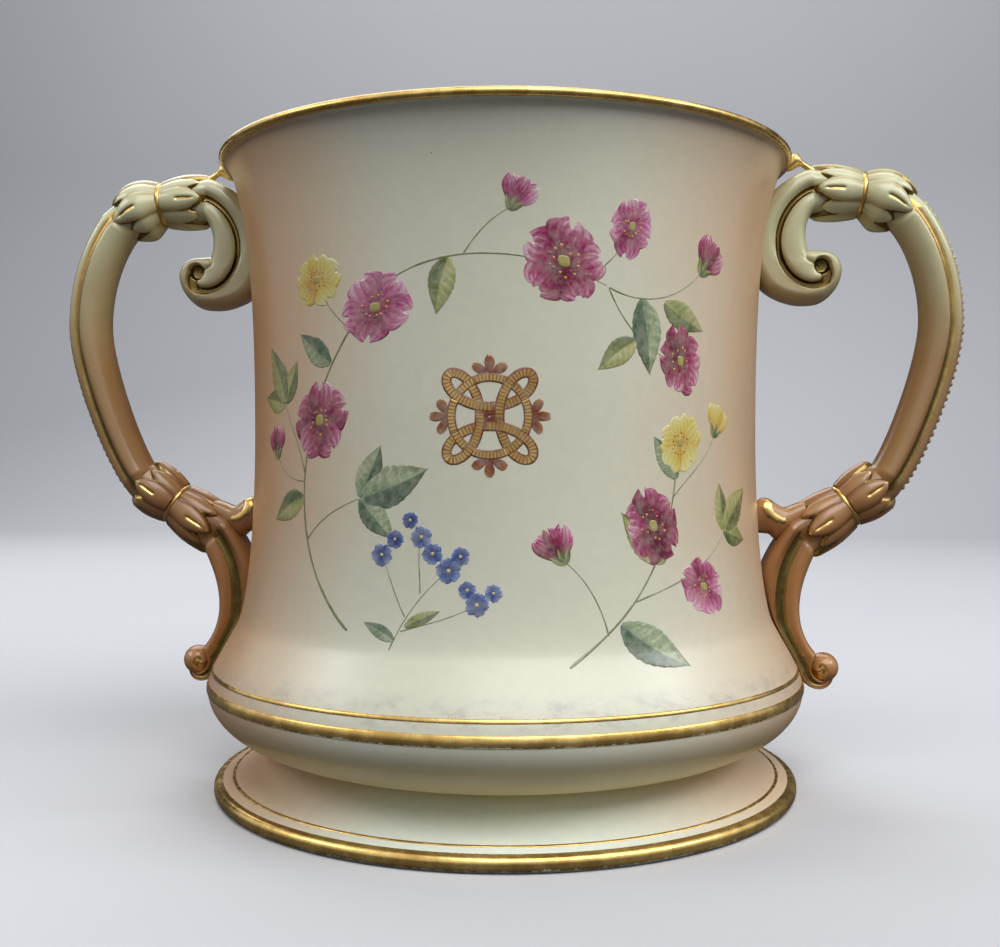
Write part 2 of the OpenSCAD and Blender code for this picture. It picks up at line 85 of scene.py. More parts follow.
def wall_curves(inset, lip_inset):
    shoulder = [(BELLY[0] - inset, BELLY[1]), (BELLY[0] - inset, mix(BELLY[1], SHOULDER[1], 0.26)),
                (mix(WAIST[0], SHOULDER[0], 1.75) - inset, mix(BELLY[1], SHOULDER[1], 0.59)),
                (SHOULDER[0] - inset, SHOULDER[1])]
    flare = [(SHOULDER[0] - inset, SHOULDER[1]),
             (mix(WAIST[0], SHOULDER[0], 0.5) - inset, mix(SHOULDER[1], WAIST[1], 0.1)),
             (WAIST[0] - inset, mix(SHOULDER[1], WAIST[1], 0.47)), (WAIST[0] - inset, WAIST[1])]
    upper = [(WAIST[0] - inset, WAIST[1]), (WAIST[0] - inset, mix(WAIST[1], FLARE[1], 0.4)),
             (mix(WAIST[0], FLARE[0], 0.1) - inset, mix(WAIST[1], FLARE[1], 0.79)),
             (FLARE[0] - lip_inset, FLARE[1])]
    return np.vstack([bezier(shoulder, 24), bezier(flare, 28)[1:], bezier(upper, 36)[1:]])


under = bezier([NECK, (mix(NECK[0], BELLY[0], 0.54), mix(NECK[1], BELLY[1], 0.1)),
                (BELLY[0], mix(NECK[1], BELLY[1], 0.51)), BELLY], 28)
basin = bezier([(NECK[0] - WALL_T, FLOOR_Z), (mix(NECK[0], BELLY[0], 0.6) - WALL_T, FLOOR_Z),
                (BELLY[0] - WALL_T, mix(FLOOR_Z, BELLY[1], 0.5)), (BELLY[0] - WALL_T, BELLY[1])], 20)
outer_wall = np.vstack([under, wall_curves(0, 0)[1:]])
inner_wall = np.vstack([basin, wall_curves(WALL_T, LIP_T)[1:]])


def wall_r(z):
    return np.interp(z, outer_wall[:, 1], outer_wall[:, 0])


def node(tree, kind, ins=(), **props):
    made = tree.nodes.new(kind)
    for name, value in props.items():
        setattr(made, name, value)
    for socket, value in dict(ins).items():
        if isinstance(value, bpy.types.NodeSocket):
            tree.links.new(value, made.inputs[socket])
        else:
            made.inputs[socket].default_value = value
    return made


def tree_of(*values):
    return next(v.id_data for v in values if isinstance(v, bpy.types.NodeSocket))


def calc(operation, a, b=0.0):
    return node(tree_of(a, b), "ShaderNodeMath", {0: a, 1: b}, operation=operation).outputs[0]


def times(a, b):
    return calc("MULTIPLY", a, b)


def plus(a, b):
    return calc("ADD", a, b)


def minus(a, b):
    return calc("SUBTRACT", a, b)


def ease(value, lo, hi, to_lo=0.0, to_hi=1.0):
    return node(value.id_data, "ShaderNodeMapRange", {0: value, 1: lo, 2: hi, 3: to_lo, 4: to_hi},
                interpolation_type="SMOOTHSTEP").outputs[0]


def blend(factor, a, b, how="MIX"):
    return node(tree_of(factor, a, b), "ShaderNodeMix", {0: factor, 6: a, 7: b},
                data_type="RGBA", blend_type=how).outputs[2]


def linear(rgb):
    c = [v / 255 for v in rgb]
    return tuple(v / 12.92 if v <= 0.04045 else ((v + 0.055) / 1.055) ** 2.4 for v in c) + (1.0,)


def noise(place, scale, detail=3.0, rough=0.55):
    return node(place.id_data, "ShaderNodeTexNoise", {
        "Vector": place, "Scale": scale, "Detail": detail, "Roughness": rough}).outputs["Fac"]


def split(vector):
    return node(vector.id_data, "ShaderNodeSeparateXYZ", {0: vector}).outputs


def mark_in(tree, name):
    return node(tree, "ShaderNodeAttribute", attribute_name=name).outputs


def bumped(height, strength, distance):
    return node(height.id_data, "ShaderNodeBump", {
        "Height": height, "Strength": strength, "Distance": distance}).outputs[0]


def new_material(name):
    made = bpy.data.materials.new(name)
    made.use_nodes = True
    tree = made.node_tree
    tree.nodes.clear()
    return made, tree, node(tree, "ShaderNodeTexCoord").outputs["Object"]


def new_group(name, ins, outs):
    tree = bpy.data.node_groups.new(name, "ShaderNodeTree")
    tree.interface.new_socket("Place", in_out="INPUT", socket_type="NodeSocketVector")
    for label, value in ins.items():
        socket = tree.interface.new_socket(label, in_out="INPUT", socket_type="NodeSocketFloat")
        socket.default_value = value
    for label in outs:
        kind = "NodeSocketColor" if label == "Color" else "NodeSocketFloat"
        tree.interface.new_socket(label, in_out="OUTPUT", socket_type=kind)
    given = node(tree, "NodeGroupInput").outputs
    return tree, given["Place"], given, node(tree, "NodeGroupOutput").inputs


def use_group(group, **ins):
    return node(tree_of(*ins.values()), "ShaderNodeGroup", ins, node_tree=group).outputs


def principled(colour, roughness, normal, metallic=0.0, coat=0.0):
    tree = colour.id_data
    shader = node(tree, "ShaderNodeBsdfPrincipled", {
        "Base Color": colour, "Roughness": roughness, "Metallic": metallic, "IOR": 1.5,
        "Normal": normal, "Coat Weight": coat, "Coat Roughness": 0.22})
    node(tree, "ShaderNodeOutputMaterial", {"Surface": shader.outputs[0]})


# The sprayed ground: how much blush there is at a place, and its mottled colour
sprayed_ground, place, given, sent = new_group("sprayed_ground", {"Blush": 1.0}, ["Color"])
x, y, z = split(place)
reach = calc("SQRT", plus(times(x, x), plus(times(y, y), 1e-6)))
side = calc("DIVIDE", calc("ABSOLUTE", x), reach)
cloud = noise(place, 16.0, 4.0)
# The blush reaches further round on the -X side, partly real blush and partly painted shade for that side,
# and thins just above the belly
blush_lean = times(calc("DIVIDE", x, reach), -0.12)
low = times(ease(z, 0.022, 0.032), ease(z, 0.05, 0.075, 1.0, 0.0))
blush_lean = plus(blush_lean, times(low, -0.12))
side = plus(side, plus(blush_lean, times(minus(cloud, 0.5), 0.25)))
amount = times(ease(side, 0.28, 1.1), given["Blush"])
ground = blend(amount, linear(IVORY), linear(BLUSH))
fine = noise(place, 420.0, 2.0)
mottle = ease(plus(times(fine, 0.4), times(cloud, 0.6)), 0.25, 0.75, 0.95, 1.03)
tint = node(sprayed_ground, "ShaderNodeCombineColor", {0: mottle, 1: mottle, 2: mottle}).outputs[0]
sprayed_ground.links.new(blend(1.0, ground, tint, "MULTIPLY"), sent["Color"])

# The fired glaze: slight ripples, pinholes and dulled patches
fired_glaze, place, given, sent = new_group("fired_glaze", {"Gloss": 0.2}, ["Height", "Roughness"])
ripple = noise(place, 130.0, 2.0, 0.4)
peel = noise(place, 900.0, 2.0)
pits = node(fired_glaze, "ShaderNodeTexVoronoi", {"Vector": place, "Scale": 260.0}).outputs["Distance"]
pit = ease(pits, 0.03, 0.1)
height = plus(times(ripple, 0.8), times(peel, 0.08))
fired_glaze.links.new(plus(height, times(pit, 0.1)), sent["Height"])
dull = ease(noise(place, 38.0, 5.0), 0.4, 0.75, -0.03, 0.1)
fired_glaze.links.new(plus(dull, given["Gloss"]), sent["Roughness"])

# Specks of ash and iron that the kiln leaves in the glaze
kiln_specks, place, given, sent = new_group("kiln_specks", {"Scale": 110.0}, ["Mask"])
cells = node(kiln_specks, "ShaderNodeTexVoronoi", {"Vector": place, "Scale": given["Scale"]}).outputs
speck = ease(cells["Distance"], 0.012, 0.022, 1.0, 0.0)
rare = node(kiln_specks, "ShaderNodeSeparateColor", {0: cells["Color"]}).outputs[0]
kiln_specks.links.new(times(speck, ease(rare, 0.9, 0.94)), sent["Mask"])

# The foot is sprayed more thinly and brightened with painted light, smoke dims the wall above the belly,
# and painted ochre shade darkens the seam below
FOOT_PAINTED_LIGHT = (1.17, 1.25, 1.36, 1.0)
cup_glaze, tree, place = new_material("blush_ivory_glaze")
inside = mark_in(tree, "inside")["Fac"]
z = split(place)[2]
on_foot = ease(z, 0.0105, 0.0125, 1.0, 0.0)
sprayed = minus(minus(1.0, inside), times(on_foot, 0.2))
ground = use_group(sprayed_ground, Place=place, Blush=sprayed)["Color"]
# Painted light: the foot's colour is multiplied brighter and cooler, as if more light reached it beneath
# the belly
ground = blend(on_foot, ground, FOOT_PAINTED_LIGHT, "MULTIPLY")
smear = node(tree, "ShaderNodeMapping", {"Vector": place, "Scale": (210, 210, 420)}).outputs[0]
veil = times(ease(z, 0.0285, 0.0305), ease(z, 0.0325, 0.0375, 1.0, 0.0))
veil = times(veil, ease(noise(smear, 1.0, 7.0, 0.7), 0.42, 0.74, 0.04, 0.62))
veil = times(veil, minus(1.0, inside))
ground = blend(veil, ground, linear(SMOKE))
# Painted shade: an ochre darkening under the belly and over the seam with the foot
painted_seam_shade = times(ease(z, 0.009, 0.0125), ease(z, 0.017, 0.026, 1.0, 0.0))
painted_seam_shade = times(painted_seam_shade, minus(1.0, inside))
ground = blend(times(painted_seam_shade, 0.75), ground, linear(SHADE_OCHRE))
specks = use_group(kiln_specks, Place=place, Scale=95.0)["Mask"]
ground = blend(times(specks, 0.8), ground, linear(SPECK))
glaze = use_group(fired_glaze, Place=place, Gloss=0.34)
principled(ground, glaze["Roughness"], bumped(glaze["Height"], 0.03, 0.001), coat=0.06)


def new_shape(name, ins, out):
    tree = bpy.data.node_groups.new(name, "GeometryNodeTree")
    sockets = {}
    for label, kind in ins.items():
        sockets[label] = tree.interface.new_socket(label, in_out="INPUT", socket_type="NodeSocket" + kind)
    tree.interface.new_socket(out, in_out="OUTPUT", socket_type="NodeSocketGeometry")
    return tree, sockets, node(tree, "NodeGroupInput").outputs


def step(kind, geometry, **ins):
    return node(geometry.id_data, "GeometryNode" + kind, {0: geometry, **ins}).outputs[0]


# Turning: a profile of joined points in the plane of X and Z is spun about Z and closed
turning, turning_ins, given = new_shape(
    "turned_form", {"Profile": "Geometry", "Steps Round": "Int", "Finish": "Material"}, "Form")
count = node(turning, "GeometryNodeAttributeDomainSize", {0: given["Profile"]}, component="MESH").outputs[0]
across = plus(given["Steps Round"], 1.0)
grid = node(turning, "GeometryNodeMeshGrid", {
    "Size X": 1.0, "Size Y": 1.0, "Vertices X": across, "Vertices Y": count}).outputs["Mesh"]
position = node(turning, "GeometryNodeInputPosition").outputs[0]
spot = node(turning, "ShaderNodeVectorMath", {0: position, 1: (0.5, 0.5, 0.0)}, operation="ADD").outputs[0]
marked = node(turning, "GeometryNodeStoreNamedAttribute", {
    "Geometry": grid, "Name": "UVMap", "Value": spot}, data_type="FLOAT2", domain="CORNER").outputs[0]
u, v, _ = split(spot)
row = times(v, minus(count, 1.0))
row = node(turning, "FunctionNodeFloatToInt", {0: row}, rounding_mode="ROUND").outputs[0]
point = node(turning, "GeometryNodeSampleIndex", {
    "Geometry": given["Profile"], "Value": position, "Index": row},
    data_type="FLOAT_VECTOR", domain="POINT").outputs[0]
point = split(point)
turn = times(u, 2 * math.pi)
spun = node(turning, "ShaderNodeCombineXYZ", {
    0: times(point[0], calc("COSINE", turn)), 1: times(point[0], calc("SINE", turn)),
    2: point[2]}).outputs[0]
form = step("MergeByDistance", step("SetPosition", marked, Position=spun), Distance=1e-6)
form = step("RealizeInstances", step("SetShadeSmooth", form))
node(turning, "NodeGroupOutput", {"Form": step("SetMaterial", form, Material=given["Finish"])})


def finish_mesh(mesh, crease=40):
    tidy = bmesh.new()
    tidy.from_mesh(mesh)
    bmesh.ops.remove_doubles(tidy, verts=tidy.verts, dist=1e-7)
    bmesh.ops.dissolve_degenerate(tidy, edges=tidy.edges, dist=1e-7)
    bmesh.ops.recalc_face_normals(tidy, faces=tidy.faces)
    tidy.to_mesh(mesh)
    tidy.free()
    mesh.shade_smooth()
    mesh.set_sharp_from_angle(angle=math.radians(crease))


def settle(made, stands_for):
    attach(made, "root")
    if stands_for:
        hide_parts(*stands_for)
    return made


def put_mark(mesh, name, values):
    values = np.asarray(values, np.float32).ravel()
    mesh.attributes.new(name, "FLOAT", "POINT").data.foreach_set("value", values)


def spots_of(mesh):
    return np.array([v.co for v in mesh.vertices]) / MM


def run_nodes(made, group, sockets, values):
    modifier = made.modifiers.new("shape", "NODES")
    modifier.node_group = group
    for label, value in values.items():
        modifier[sockets[label].identifier] = value
    seen = made.evaluated_get(bpy.context.evaluated_depsgraph_get())
    mesh = bpy.data.meshes.new_from_object(seen)
    made.modifiers.remove(modifier)
    made.data = mesh
    return mesh


def new_object(name, points, edges=(), faces=()):
    mesh = bpy.data.meshes.new(name)
    mesh.from_pydata((np.asarray(points, float) * MM).tolist(), edges, faces)
    made = bpy.data.objects.new(name, mesh)
    bpy.context.scene.collection.objects.link(made)
    return made


def outline_object(name, points):
    return new_object(name, points, [(i, i + 1) for i in range(len(points) - 1)])


def turned(name, profile, finish, stands_for, steps, crease=40):
    made = outline_object(name, [(r, 0, z) for r, z in profile])
    mesh = run_nodes(made, turning, turning_ins, {"Steps Round": steps, "Finish": finish})
    finish_mesh(mesh, crease)
    return settle(made, stands_for)


body_profile = np.vstack([
    [(0, NECK[1])], outer_wall, arc(LIP, LIP_R, -110, 150, 20), inner_wall[::-1], [(0, FLOOR_Z)]])
body = turned("cup_body", body_profile, cup_glaze, ["body"], 256)
spots = spots_of(body.data)
radius = np.hypot(spots[:, 0], spots[:, 1])
put_mark(body.data, "inside", (spots[:, 2] > FLOOR_Z - 1) & (radius < wall_r(spots[:, 2]) - 1))

# Foot: a spreading porcelain ring, turned apart and stuck under the belly with slip.
# It is sprayed and glazed with the cup, and is hollow underneath.
FOOT_R = 74.8
FOOT_EDGE = 3.6
FOOT_ROUND = 1.5
FOOT_RING = 12.0
SEAM_W = 5.0
foot_slope = bezier([(FOOT_R - FOOT_ROUND, FOOT_EDGE),
                     (mix(FOOT_R, NECK[0], 0.48), mix(FOOT_EDGE, NECK[1], 0.15)),
                     (mix(FOOT_R, NECK[0], 0.85), mix(FOOT_EDGE, NECK[1], 0.46)), NECK], 32)
foot_profile = np.vstack([
    arc((FOOT_R - FOOT_ROUND, FOOT_ROUND), FOOT_ROUND, -90, 0, 8),
    arc((FOOT_R - FOOT_ROUND, FOOT_EDGE - FOOT_ROUND), FOOT_ROUND, 0, 90, 8),
    foot_slope[1:],
    [(NECK[0] - SEAM_W, NECK[1]), (NECK[0] - SEAM_W, mix(FOOT_EDGE, NECK[1], 0.5))],
    [(FOOT_R - 0.9 - FOOT_RING, 0.0), (FOOT_R - FOOT_ROUND, 0.0)]])
turned("cup_foot", foot_profile, cup_glaze, ["foot"], 224, 50)

# Handle bows: each handle is pressed in a two-part mould and stuck on with slip. The bow is the long
# curved grip, an oval bar with a gilded line sunk along each side and a channel along its back.
GOLD = (236, 202, 124)
GOLD_DEEP = (188, 150, 80)
GOLD_SHADE = (96, 80, 36)
CREAM = (208, 208, 167)
PEACH = (171, 136, 91)
APRICOT = (180, 129, 79)
SHADE_UMBER = (122, 74, 38)
SHADE_OLIVE = (168, 144, 88)
RING_L = 1.2
RING_R = 5.9
MOUTH_R = 6.8
TENON_R = 5.4
TENON_L = 3.9
LEAF_TIP = 0.9
RING_TILT = -8.0
BOW_TILT = -36.0
SCROLL_TILT = 181.0
LOWER_TILT = 34.0
UPPER_BOW_CUP = 9.8
UPPER_SCROLL_CUP = 11.0
LOWER_BOW_CUP = 9.2
LOWER_SCROLL_CUP = 11.8
UPPER_C = np.array([91.4, 151.8])
LOWER_IN = np.array([float(wall_r(65.066)) + 12.4, 65.066])
BOW_MID = np.array([111.7, 119.5])
BOW_DEPTH = 10.6
BOW_FOOT_DEPTH = 9.4
BOW_BREADTH = 13.0
HANDS = (("right_", 1.0), ("left_", -1.0))

# Gold that is brushed on and fired, with rubbed and thinned places
rubbed_gold, place, given, sent = new_group("rubbed_gold", {}, ["Color", "Roughness"])
grain = noise(place, 240.0, 5.0, 0.65)
sweep = noise(place, 45.0, 3.0)
shade = ease(plus(times(grain, 0.5), times(sweep, 0.5)), 0.35, 0.68)
rubbed_gold.links.new(blend(shade, linear(GOLD_DEEP), linear(GOLD)), sent["Color"])
rubbed_gold.links.new(ease(grain, 0.3, 0.75, 0.2, 0.34), sent["Roughness"])

# The handles' glaze runs from apricot at the foot to cream at the top, with gold laid in the hollows and
# painted shade in the marked recesses, undersides and edges
handle_glaze, tree, place = new_material("handle_glaze")
drift = times(minus(noise(place, 30.0, 3.0), 0.5), 0.03)
level = plus(split(place)[2], drift)
ground = blend(ease(level, 0.05, 0.1), linear(APRICOT), linear(PEACH))
ground = blend(ease(level, 0.105, 0.148), ground, linear(CREAM))
# Painted shade: where the pieces are marked, the glaze darkens towards umber low down and olive higher up,
# and the gold darkens towards a dark shade colour
painted_shade = mark_in(tree, "painted_shade")["Fac"]
shade_colour = blend(ease(level, 0.09, 0.14), linear(SHADE_UMBER), linear(SHADE_OLIVE))
ground = blend(times(painted_shade, 0.75), ground, shade_colour)
specks = use_group(kiln_specks, Place=place, Scale=170.0)["Mask"]
ground = blend(times(specks, 0.5), ground, linear(SPECK))
glaze = use_group(fired_glaze, Place=place, Gloss=0.2)
gold = use_group(rubbed_gold, Place=place)
shaded_gold = blend(times(painted_shade, 0.85), gold["Color"], linear(GOLD_SHADE))
gilt = mark_in(tree, "gilt")["Fac"]
ragged = times(minus(noise(place, 500.0, 3.0), 0.5), 0.3)
gilt = ease(plus(gilt, ragged), 0.4, 0.6)
colour = blend(gilt, ground, shaded_gold)
rough = plus(times(gilt, gold["Roughness"]), times(minus(1.0, gilt), glaze["Roughness"]))
principled(colour, rough, bumped(glaze["Height"], 0.08, 0.001), times(gilt, 0.85), 0.15)


def way(degrees):
    a = math.radians(degrees)
    return np.array([math.cos(a), math.sin(a)])


def left_of(d):
    return np.stack([-d[..., 1], d[..., 0]], -1)


def headings(path):
    d = np.gradient(path, axis=0)
    return d / np.linalg.norm(d, axis=1)[:, None]


def around(steps):
    return np.linspace(0, 2 * math.pi, steps, endpoint=False)


def in_space(plane, y):
    return np.stack([plane[..., 0], y, plane[..., 1]], -1)


def sections(axis, out, across, y):
    return in_space(axis[:, None, :] + across[..., None] * np.reshape(out, (-1, 1, 2)), y)


def loft(rings):
    rings = np.asarray(rings, float)
    m, n, _ = rings.shape
    points = np.vstack([rings.reshape(-1, 3), rings[0].mean(0), rings[-1].mean(0)])
    faces = []
    for j in range(m - 1):
        for i in range(n):
            k = (i + 1) % n
            faces.append((j * n + i, j * n + k, (j + 1) * n + k, (j + 1) * n + i))
    for i in range(n):
        k = (i + 1) % n
        faces.append((m * n, k, i))
        faces.append((m * n + 1, (m - 1) * n + i, (m - 1) * n + k))
    return points, faces


def both_handles(name, stands_for, rings, marks, finish, crease=40):
    points, faces = loft(rings)
    for hand, turn in HANDS:
        made = new_object(hand + name, points * (turn, turn, 1.0), faces=faces)
        for mark, values in marks.items():
            full = np.zeros(len(points))
            full[:values.size] = values.ravel()
            put_mark(made.data, mark, full)
        finish_mesh(made.data, crease)
        made.data.materials.append(finish)
        settle(made, [hand + stands_for])


def moulded(name, stands_for, rings, gilt, painted_shade, crease=40):
    marks = {"gilt": gilt, "painted_shade": painted_shade}
    both_handles(name, stands_for, rings, marks, handle_glaze, crease)


def bent_end(c, a0, a1, length):
    return c + RING_L / 2 * way(a0) + length * way((a0 + a1) / 2)


UPPER_OUT = bent_end(UPPER_C, RING_TILT, BOW_TILT, UPPER_BOW_CUP)
UPPER_IN = bent_end(UPPER_C, RING_TILT + 180, SCROLL_TILT, UPPER_SCROLL_CUP)
LOWER_C = LOWER_IN + (LOWER_SCROLL_CUP + RING_L / 2) * way(LOWER_TILT)
LOWER_OUT = bent_end(LOWER_C, LOWER_TILT, LOWER_TILT, LOWER_BOW_CUP)
upper_tip = UPPER_OUT + LEAF_TIP * way(BOW_TILT)
lower_tip = LOWER_OUT + LEAF_TIP * way(LOWER_TILT)
bow_upper = bezier([upper_tip, upper_tip + 4 * way(BOW_TILT),
                    (BOW_MID[0], mix(BOW_MID[1], upper_tip[1], 0.53)), BOW_MID], 64)
bow_lower = bezier([BOW_MID, (BOW_MID[0], mix(BOW_MID[1], lower_tip[1], 0.3)),
                    lower_tip + 5 * way(LOWER_TILT), lower_tip], 64)
bow_path = np.vstack([
    [UPPER_OUT - TENON_L * way(BOW_TILT), UPPER_OUT - 2 * way(BOW_TILT)], bow_upper, bow_lower[1:],
    [LOWER_OUT - 2 * way(LOWER_TILT), LOWER_OUT - TENON_L * way(LOWER_TILT)]])
bow_out = left_of(headings(bow_path))


def bow_depth(z):
    t = np.clip((z - LOWER_OUT[1]) / (BOW_MID[1] - LOWER_OUT[1]), 0, 1)
    return mix(BOW_FOOT_DEPTH, BOW_DEPTH, np.sin(t * math.pi / 2))


turn = np.linspace(-math.pi, math.pi, 108, endpoint=False)
groove = np.exp(-((np.abs(turn) - math.radians(71)) / math.radians(12.0)) ** 2)
inner_side = np.exp(-((np.abs(turn) - math.radians(77)) / math.radians(13.0)) ** 2)
rib = smooth(np.abs(turn), math.radians(60), math.radians(44))
channel = np.exp(-(turn / math.radians(11)) ** 2)
run_top = (bow_path - upper_tip) @ way(BOW_TILT) + np.maximum(0, upper_tip[1] - bow_path[:, 1])
run_low = (bow_path - lower_tip) @ way(LOWER_TILT) + np.maximum(0, bow_path[:, 1] - lower_tip[1])
share = np.clip(np.minimum(run_top, run_low) / 4, 0, 1)[:, None]
depth = bow_depth(bow_path[:, 1])[:, None] / 2
swell = 1 - share * (0.75 * groove - 0.2 * rib) / (BOW_BREADTH / 2)
across = mix(TENON_R * np.cos(turn), depth * np.cos(turn) * swell - 0.9 * channel, share)
along_y = mix(TENON_R * np.sin(turn), BOW_BREADTH / 2 * np.sin(turn) * swell, share)
rings = sections(bow_path, bow_out, across, along_y)
gilt_mark = (smooth(groove, 0.3, 0.6) + smooth(channel, 0.35, 0.7)) * np.ones_like(share)
# Painted shade: the bow darkens on its inner face towards the cup and on the inner wall of each gilded
# groove
shade_mark = np.clip(0.55 * smooth(np.abs(turn), 1.9, 3.1) + inner_side, 0, 1) * np.ones_like(share)
moulded("handle_bow", "bow", rings, gilt_mark, shade_mark)

# Pearls: a row of small moulded beads in the channel along the back of each bow,
# touched with gold on their tops.
PEARL_D = 1.5
PEARL_PITCH = 1.9
PEARL_SEAT = 0.12

stringing, string_ins, given = new_shape("pearl_string", {
    "Line": "Geometry", "Pitch": "Float", "Pearl Size": "Float", "Seed": "Int",
    "Finish": "Material"}, "Pearls")
beads = node(stringing, "GeometryNodeCurveToPoints", {
    "Curve": step("MeshToCurve", given["Line"]), "Length": given["Pitch"]}, mode="LENGTH").outputs["Points"]
bead = node(stringing, "GeometryNodeMeshIcoSphere", {
    "Radius": times(given["Pearl Size"], 0.5), "Subdivisions": 3}).outputs[0]
vary = node(stringing, "FunctionNodeRandomValue", {
    2: 0.9, 3: 1.08, "Seed": given["Seed"]}, data_type="FLOAT").outputs[1]
strung = step("RealizeInstances", step("InstanceOnPoints", beads, Instance=bead, Scale=vary))
strung = step("SetMaterial", step("SetShadeSmooth", strung), Material=given["Finish"])
node(stringing, "NodeGroupOutput", {"Pearls": strung})

beaded = share[:, 0] > 0.98
pearl_out = bow_out[beaded]
pearl_line = (bow_path + (bow_depth(bow_path[:, 1]) / 2 + PEARL_SEAT)[:, None] * bow_out)[beaded]
for hand, turn_way in HANDS:
    line = in_space(pearl_line, np.zeros(len(pearl_line))) * (turn_way, turn_way, 1.0)
    made = outline_object(hand + "handle_pearls", line)
    mesh = run_nodes(made, stringing, string_ins, {
        "Pitch": PEARL_PITCH * MM, "Pearl Size": PEARL_D * MM, "Seed": 4, "Finish": handle_glaze})
    spots = spots_of(mesh)[:, [0, 2]] * (turn_way, 1.0)
    near = np.argmin(((spots[:, None, :] - pearl_line[None]) ** 2).sum(2), 1)
    high = ((spots - pearl_line[near]) * pearl_out[near]).sum(1)
    put_mark(mesh, "gilt", 0.75 * smooth(high, 0.25, 0.7))
    # Painted shade on the underside of each pearl
    put_mark(mesh, "painted_shade", 0.9 * smooth(high, 0.25, -0.3))
    finish_mesh(mesh)
    settle(made, [hand + "pearls"])

# Leaf cups: at each collar two cups of moulded leaves grow from a gilt ring, one over the bow
# and one over the scroll. The leaf edges, tips and veins are picked out in gold.


def leaf_ring(top, front, bottom, between):
    small = [(45 + 90 * i, 24, between, 0.55) for i in range(4)]
    broad = [(0, 33, top, 1.15), (90, 34, front, 1.2), (180, 33, bottom, 1.15), (270, 34, front, 1.2)]
    return small + broad


def leaf_cup(name, c, a0, a1, length, swell, up, leaves):
    start = c + RING_L / 2 * way(a0)
    middle = start + length / 2 * way(a0)
    mouth = bent_end(c, a0, a1, length)
    far = max(reach for _, _, reach, _ in leaves) + 0.6
    run = np.linspace(0, far, 72)
    s = np.clip(run / length, 0, 1)[:, None]
    axis = (1 - s) ** 2 * start + 2 * s * (1 - s) * middle + s * s * mouth
    past = np.maximum(run - length, 0)[:, None]
    axis = axis + past * way(a1)
    top = left_of(circle(np.radians(mix(a0, a1, s[:, 0])))) * up
    w = around(216)
    base = mix(RING_R, MOUTH_R, s) + swell * np.sin(math.pi * s) - 0.75 - 0.22 * past
    height = np.full((len(run), len(w)), -1.5)
    gilt_mark = np.zeros_like(height)
    shade_mark = np.zeros_like(height)
    for angle, half, reach, relief in leaves:
        x = np.clip(run / reach, 0, 1)[:, None]
        body_w = (0.86 + 0.14 * np.sin(np.minimum(x / 0.5, 1) * math.pi / 2)) * (1 - x ** 3.2) ** 0.8 + 1e-4
        off = (np.degrees(w) - angle + 180) % 360 - 180
        e = np.abs(off) / (half * body_w)
        vein = np.exp(-(off / mix(5.0, 2.0, x)) ** 2) * smooth(x, 0.34, 0.46) * smooth(x, 0.94, 0.7)
        tip = np.sqrt(np.clip((1 - x) / 0.14, 0, 1))
        crown = relief * tip * np.clip(1 - e * e, 0, 1) ** 0.6 - 0.5 * vein * (relief > 0.7)
        beyond = np.maximum(run[:, None] - reach, 0)
        away = np.hypot(np.maximum(np.abs(off) - half * body_w, 0) * 0.11, beyond)
        h = np.where((e < 1) & (run[:, None] < reach), crown, -1.5 * smooth(away, 0.0, 0.8))
        mine = h > height
        edge = smooth(e, 0.78, 0.92) * smooth(x, 0.3, 0.5) + smooth(x, 0.91, 0.97)
        edge = np.maximum(edge, 1.2 * vein * (relief > 0.7))
        gilt_mark = np.where(mine & (h > -0.5), edge, np.where(mine, 1.0, gilt_mark))
        # Painted shade: each leaf darkens towards its edges and towards its base at the ring, and so do the
        # gaps between leaves
        shade_mark = np.where(mine, 0.95 * smooth(e, 0.35, 0.95) + 0.4 * smooth(x, 0.3, 0.0), shade_mark)
        height = np.where(mine, h, height)
    r = base + height
    rings = sections(axis, top, r * np.cos(w), -r * np.sin(w))
    gilt_mark, shade_mark = np.clip(gilt_mark, 0, 1), np.clip(shade_mark, 0, 1)
    moulded(name + "_leaves", name + "_cup", rings, gilt_mark, shade_mark, 60)


leaf_cup("upper_bow", UPPER_C, RING_TILT, BOW_TILT, UPPER_BOW_CUP, 1.5, 1,
         leaf_ring(11.4, 12.6, 11.0, 9.9))
leaf_cup("upper_scroll", UPPER_C, RING_TILT + 180, SCROLL_TILT, UPPER_SCROLL_CUP, 0.6, -1,
         leaf_ring(12.6, 11.4, 12.6, 10.4))
leaf_cup("lower_bow", LOWER_C, LOWER_TILT, LOWER_TILT, LOWER_BOW_CUP, 0.6, 1,
         leaf_ring(10.8, 11.0, 10.8, 9.0))
leaf_cup("lower_scroll", LOWER_C, LOWER_TILT + 180, LOWER_TILT + 180, LOWER_SCROLL_CUP, 0.6, -1,
         leaf_ring(13.0, 12.0, 14.5, 10.8))

# Collar rings: the narrow moulded ring between two leaf cups, gilded all over. Its gold is
# brushed on after the glaze, fired, and worn through in small chips to the glaze below.
fired_gold, tree, place = new_material("fired_gold")
gold = use_group(rubbed_gold, Place=place)
ground = use_group(sprayed_ground, Place=place, Blush=1.0)["Color"]
worn = mark_in(tree, "wear")["Fac"]
chips = noise(place, 900.0, 5.0, 0.62)
chips = plus(chips, times(noise(place, 120.0, 3.0), 0.6))
bare = ease(plus(times(worn, 0.75), chips), 1.27, 1.33)
keep = times(minus(1.0, bare), 0.85)
colour = blend(bare, gold["Color"], ground)
rough = plus(gold["Roughness"], times(bare, 0.08))
principled(colour, rough, bumped(chips, 0.05, 0.0004), keep)


def gilded(name, stands_for, rings):
    both_handles(name, stands_for, rings, {"wear": np.full(rings.shape[:2], 0.1)}, fired_gold)


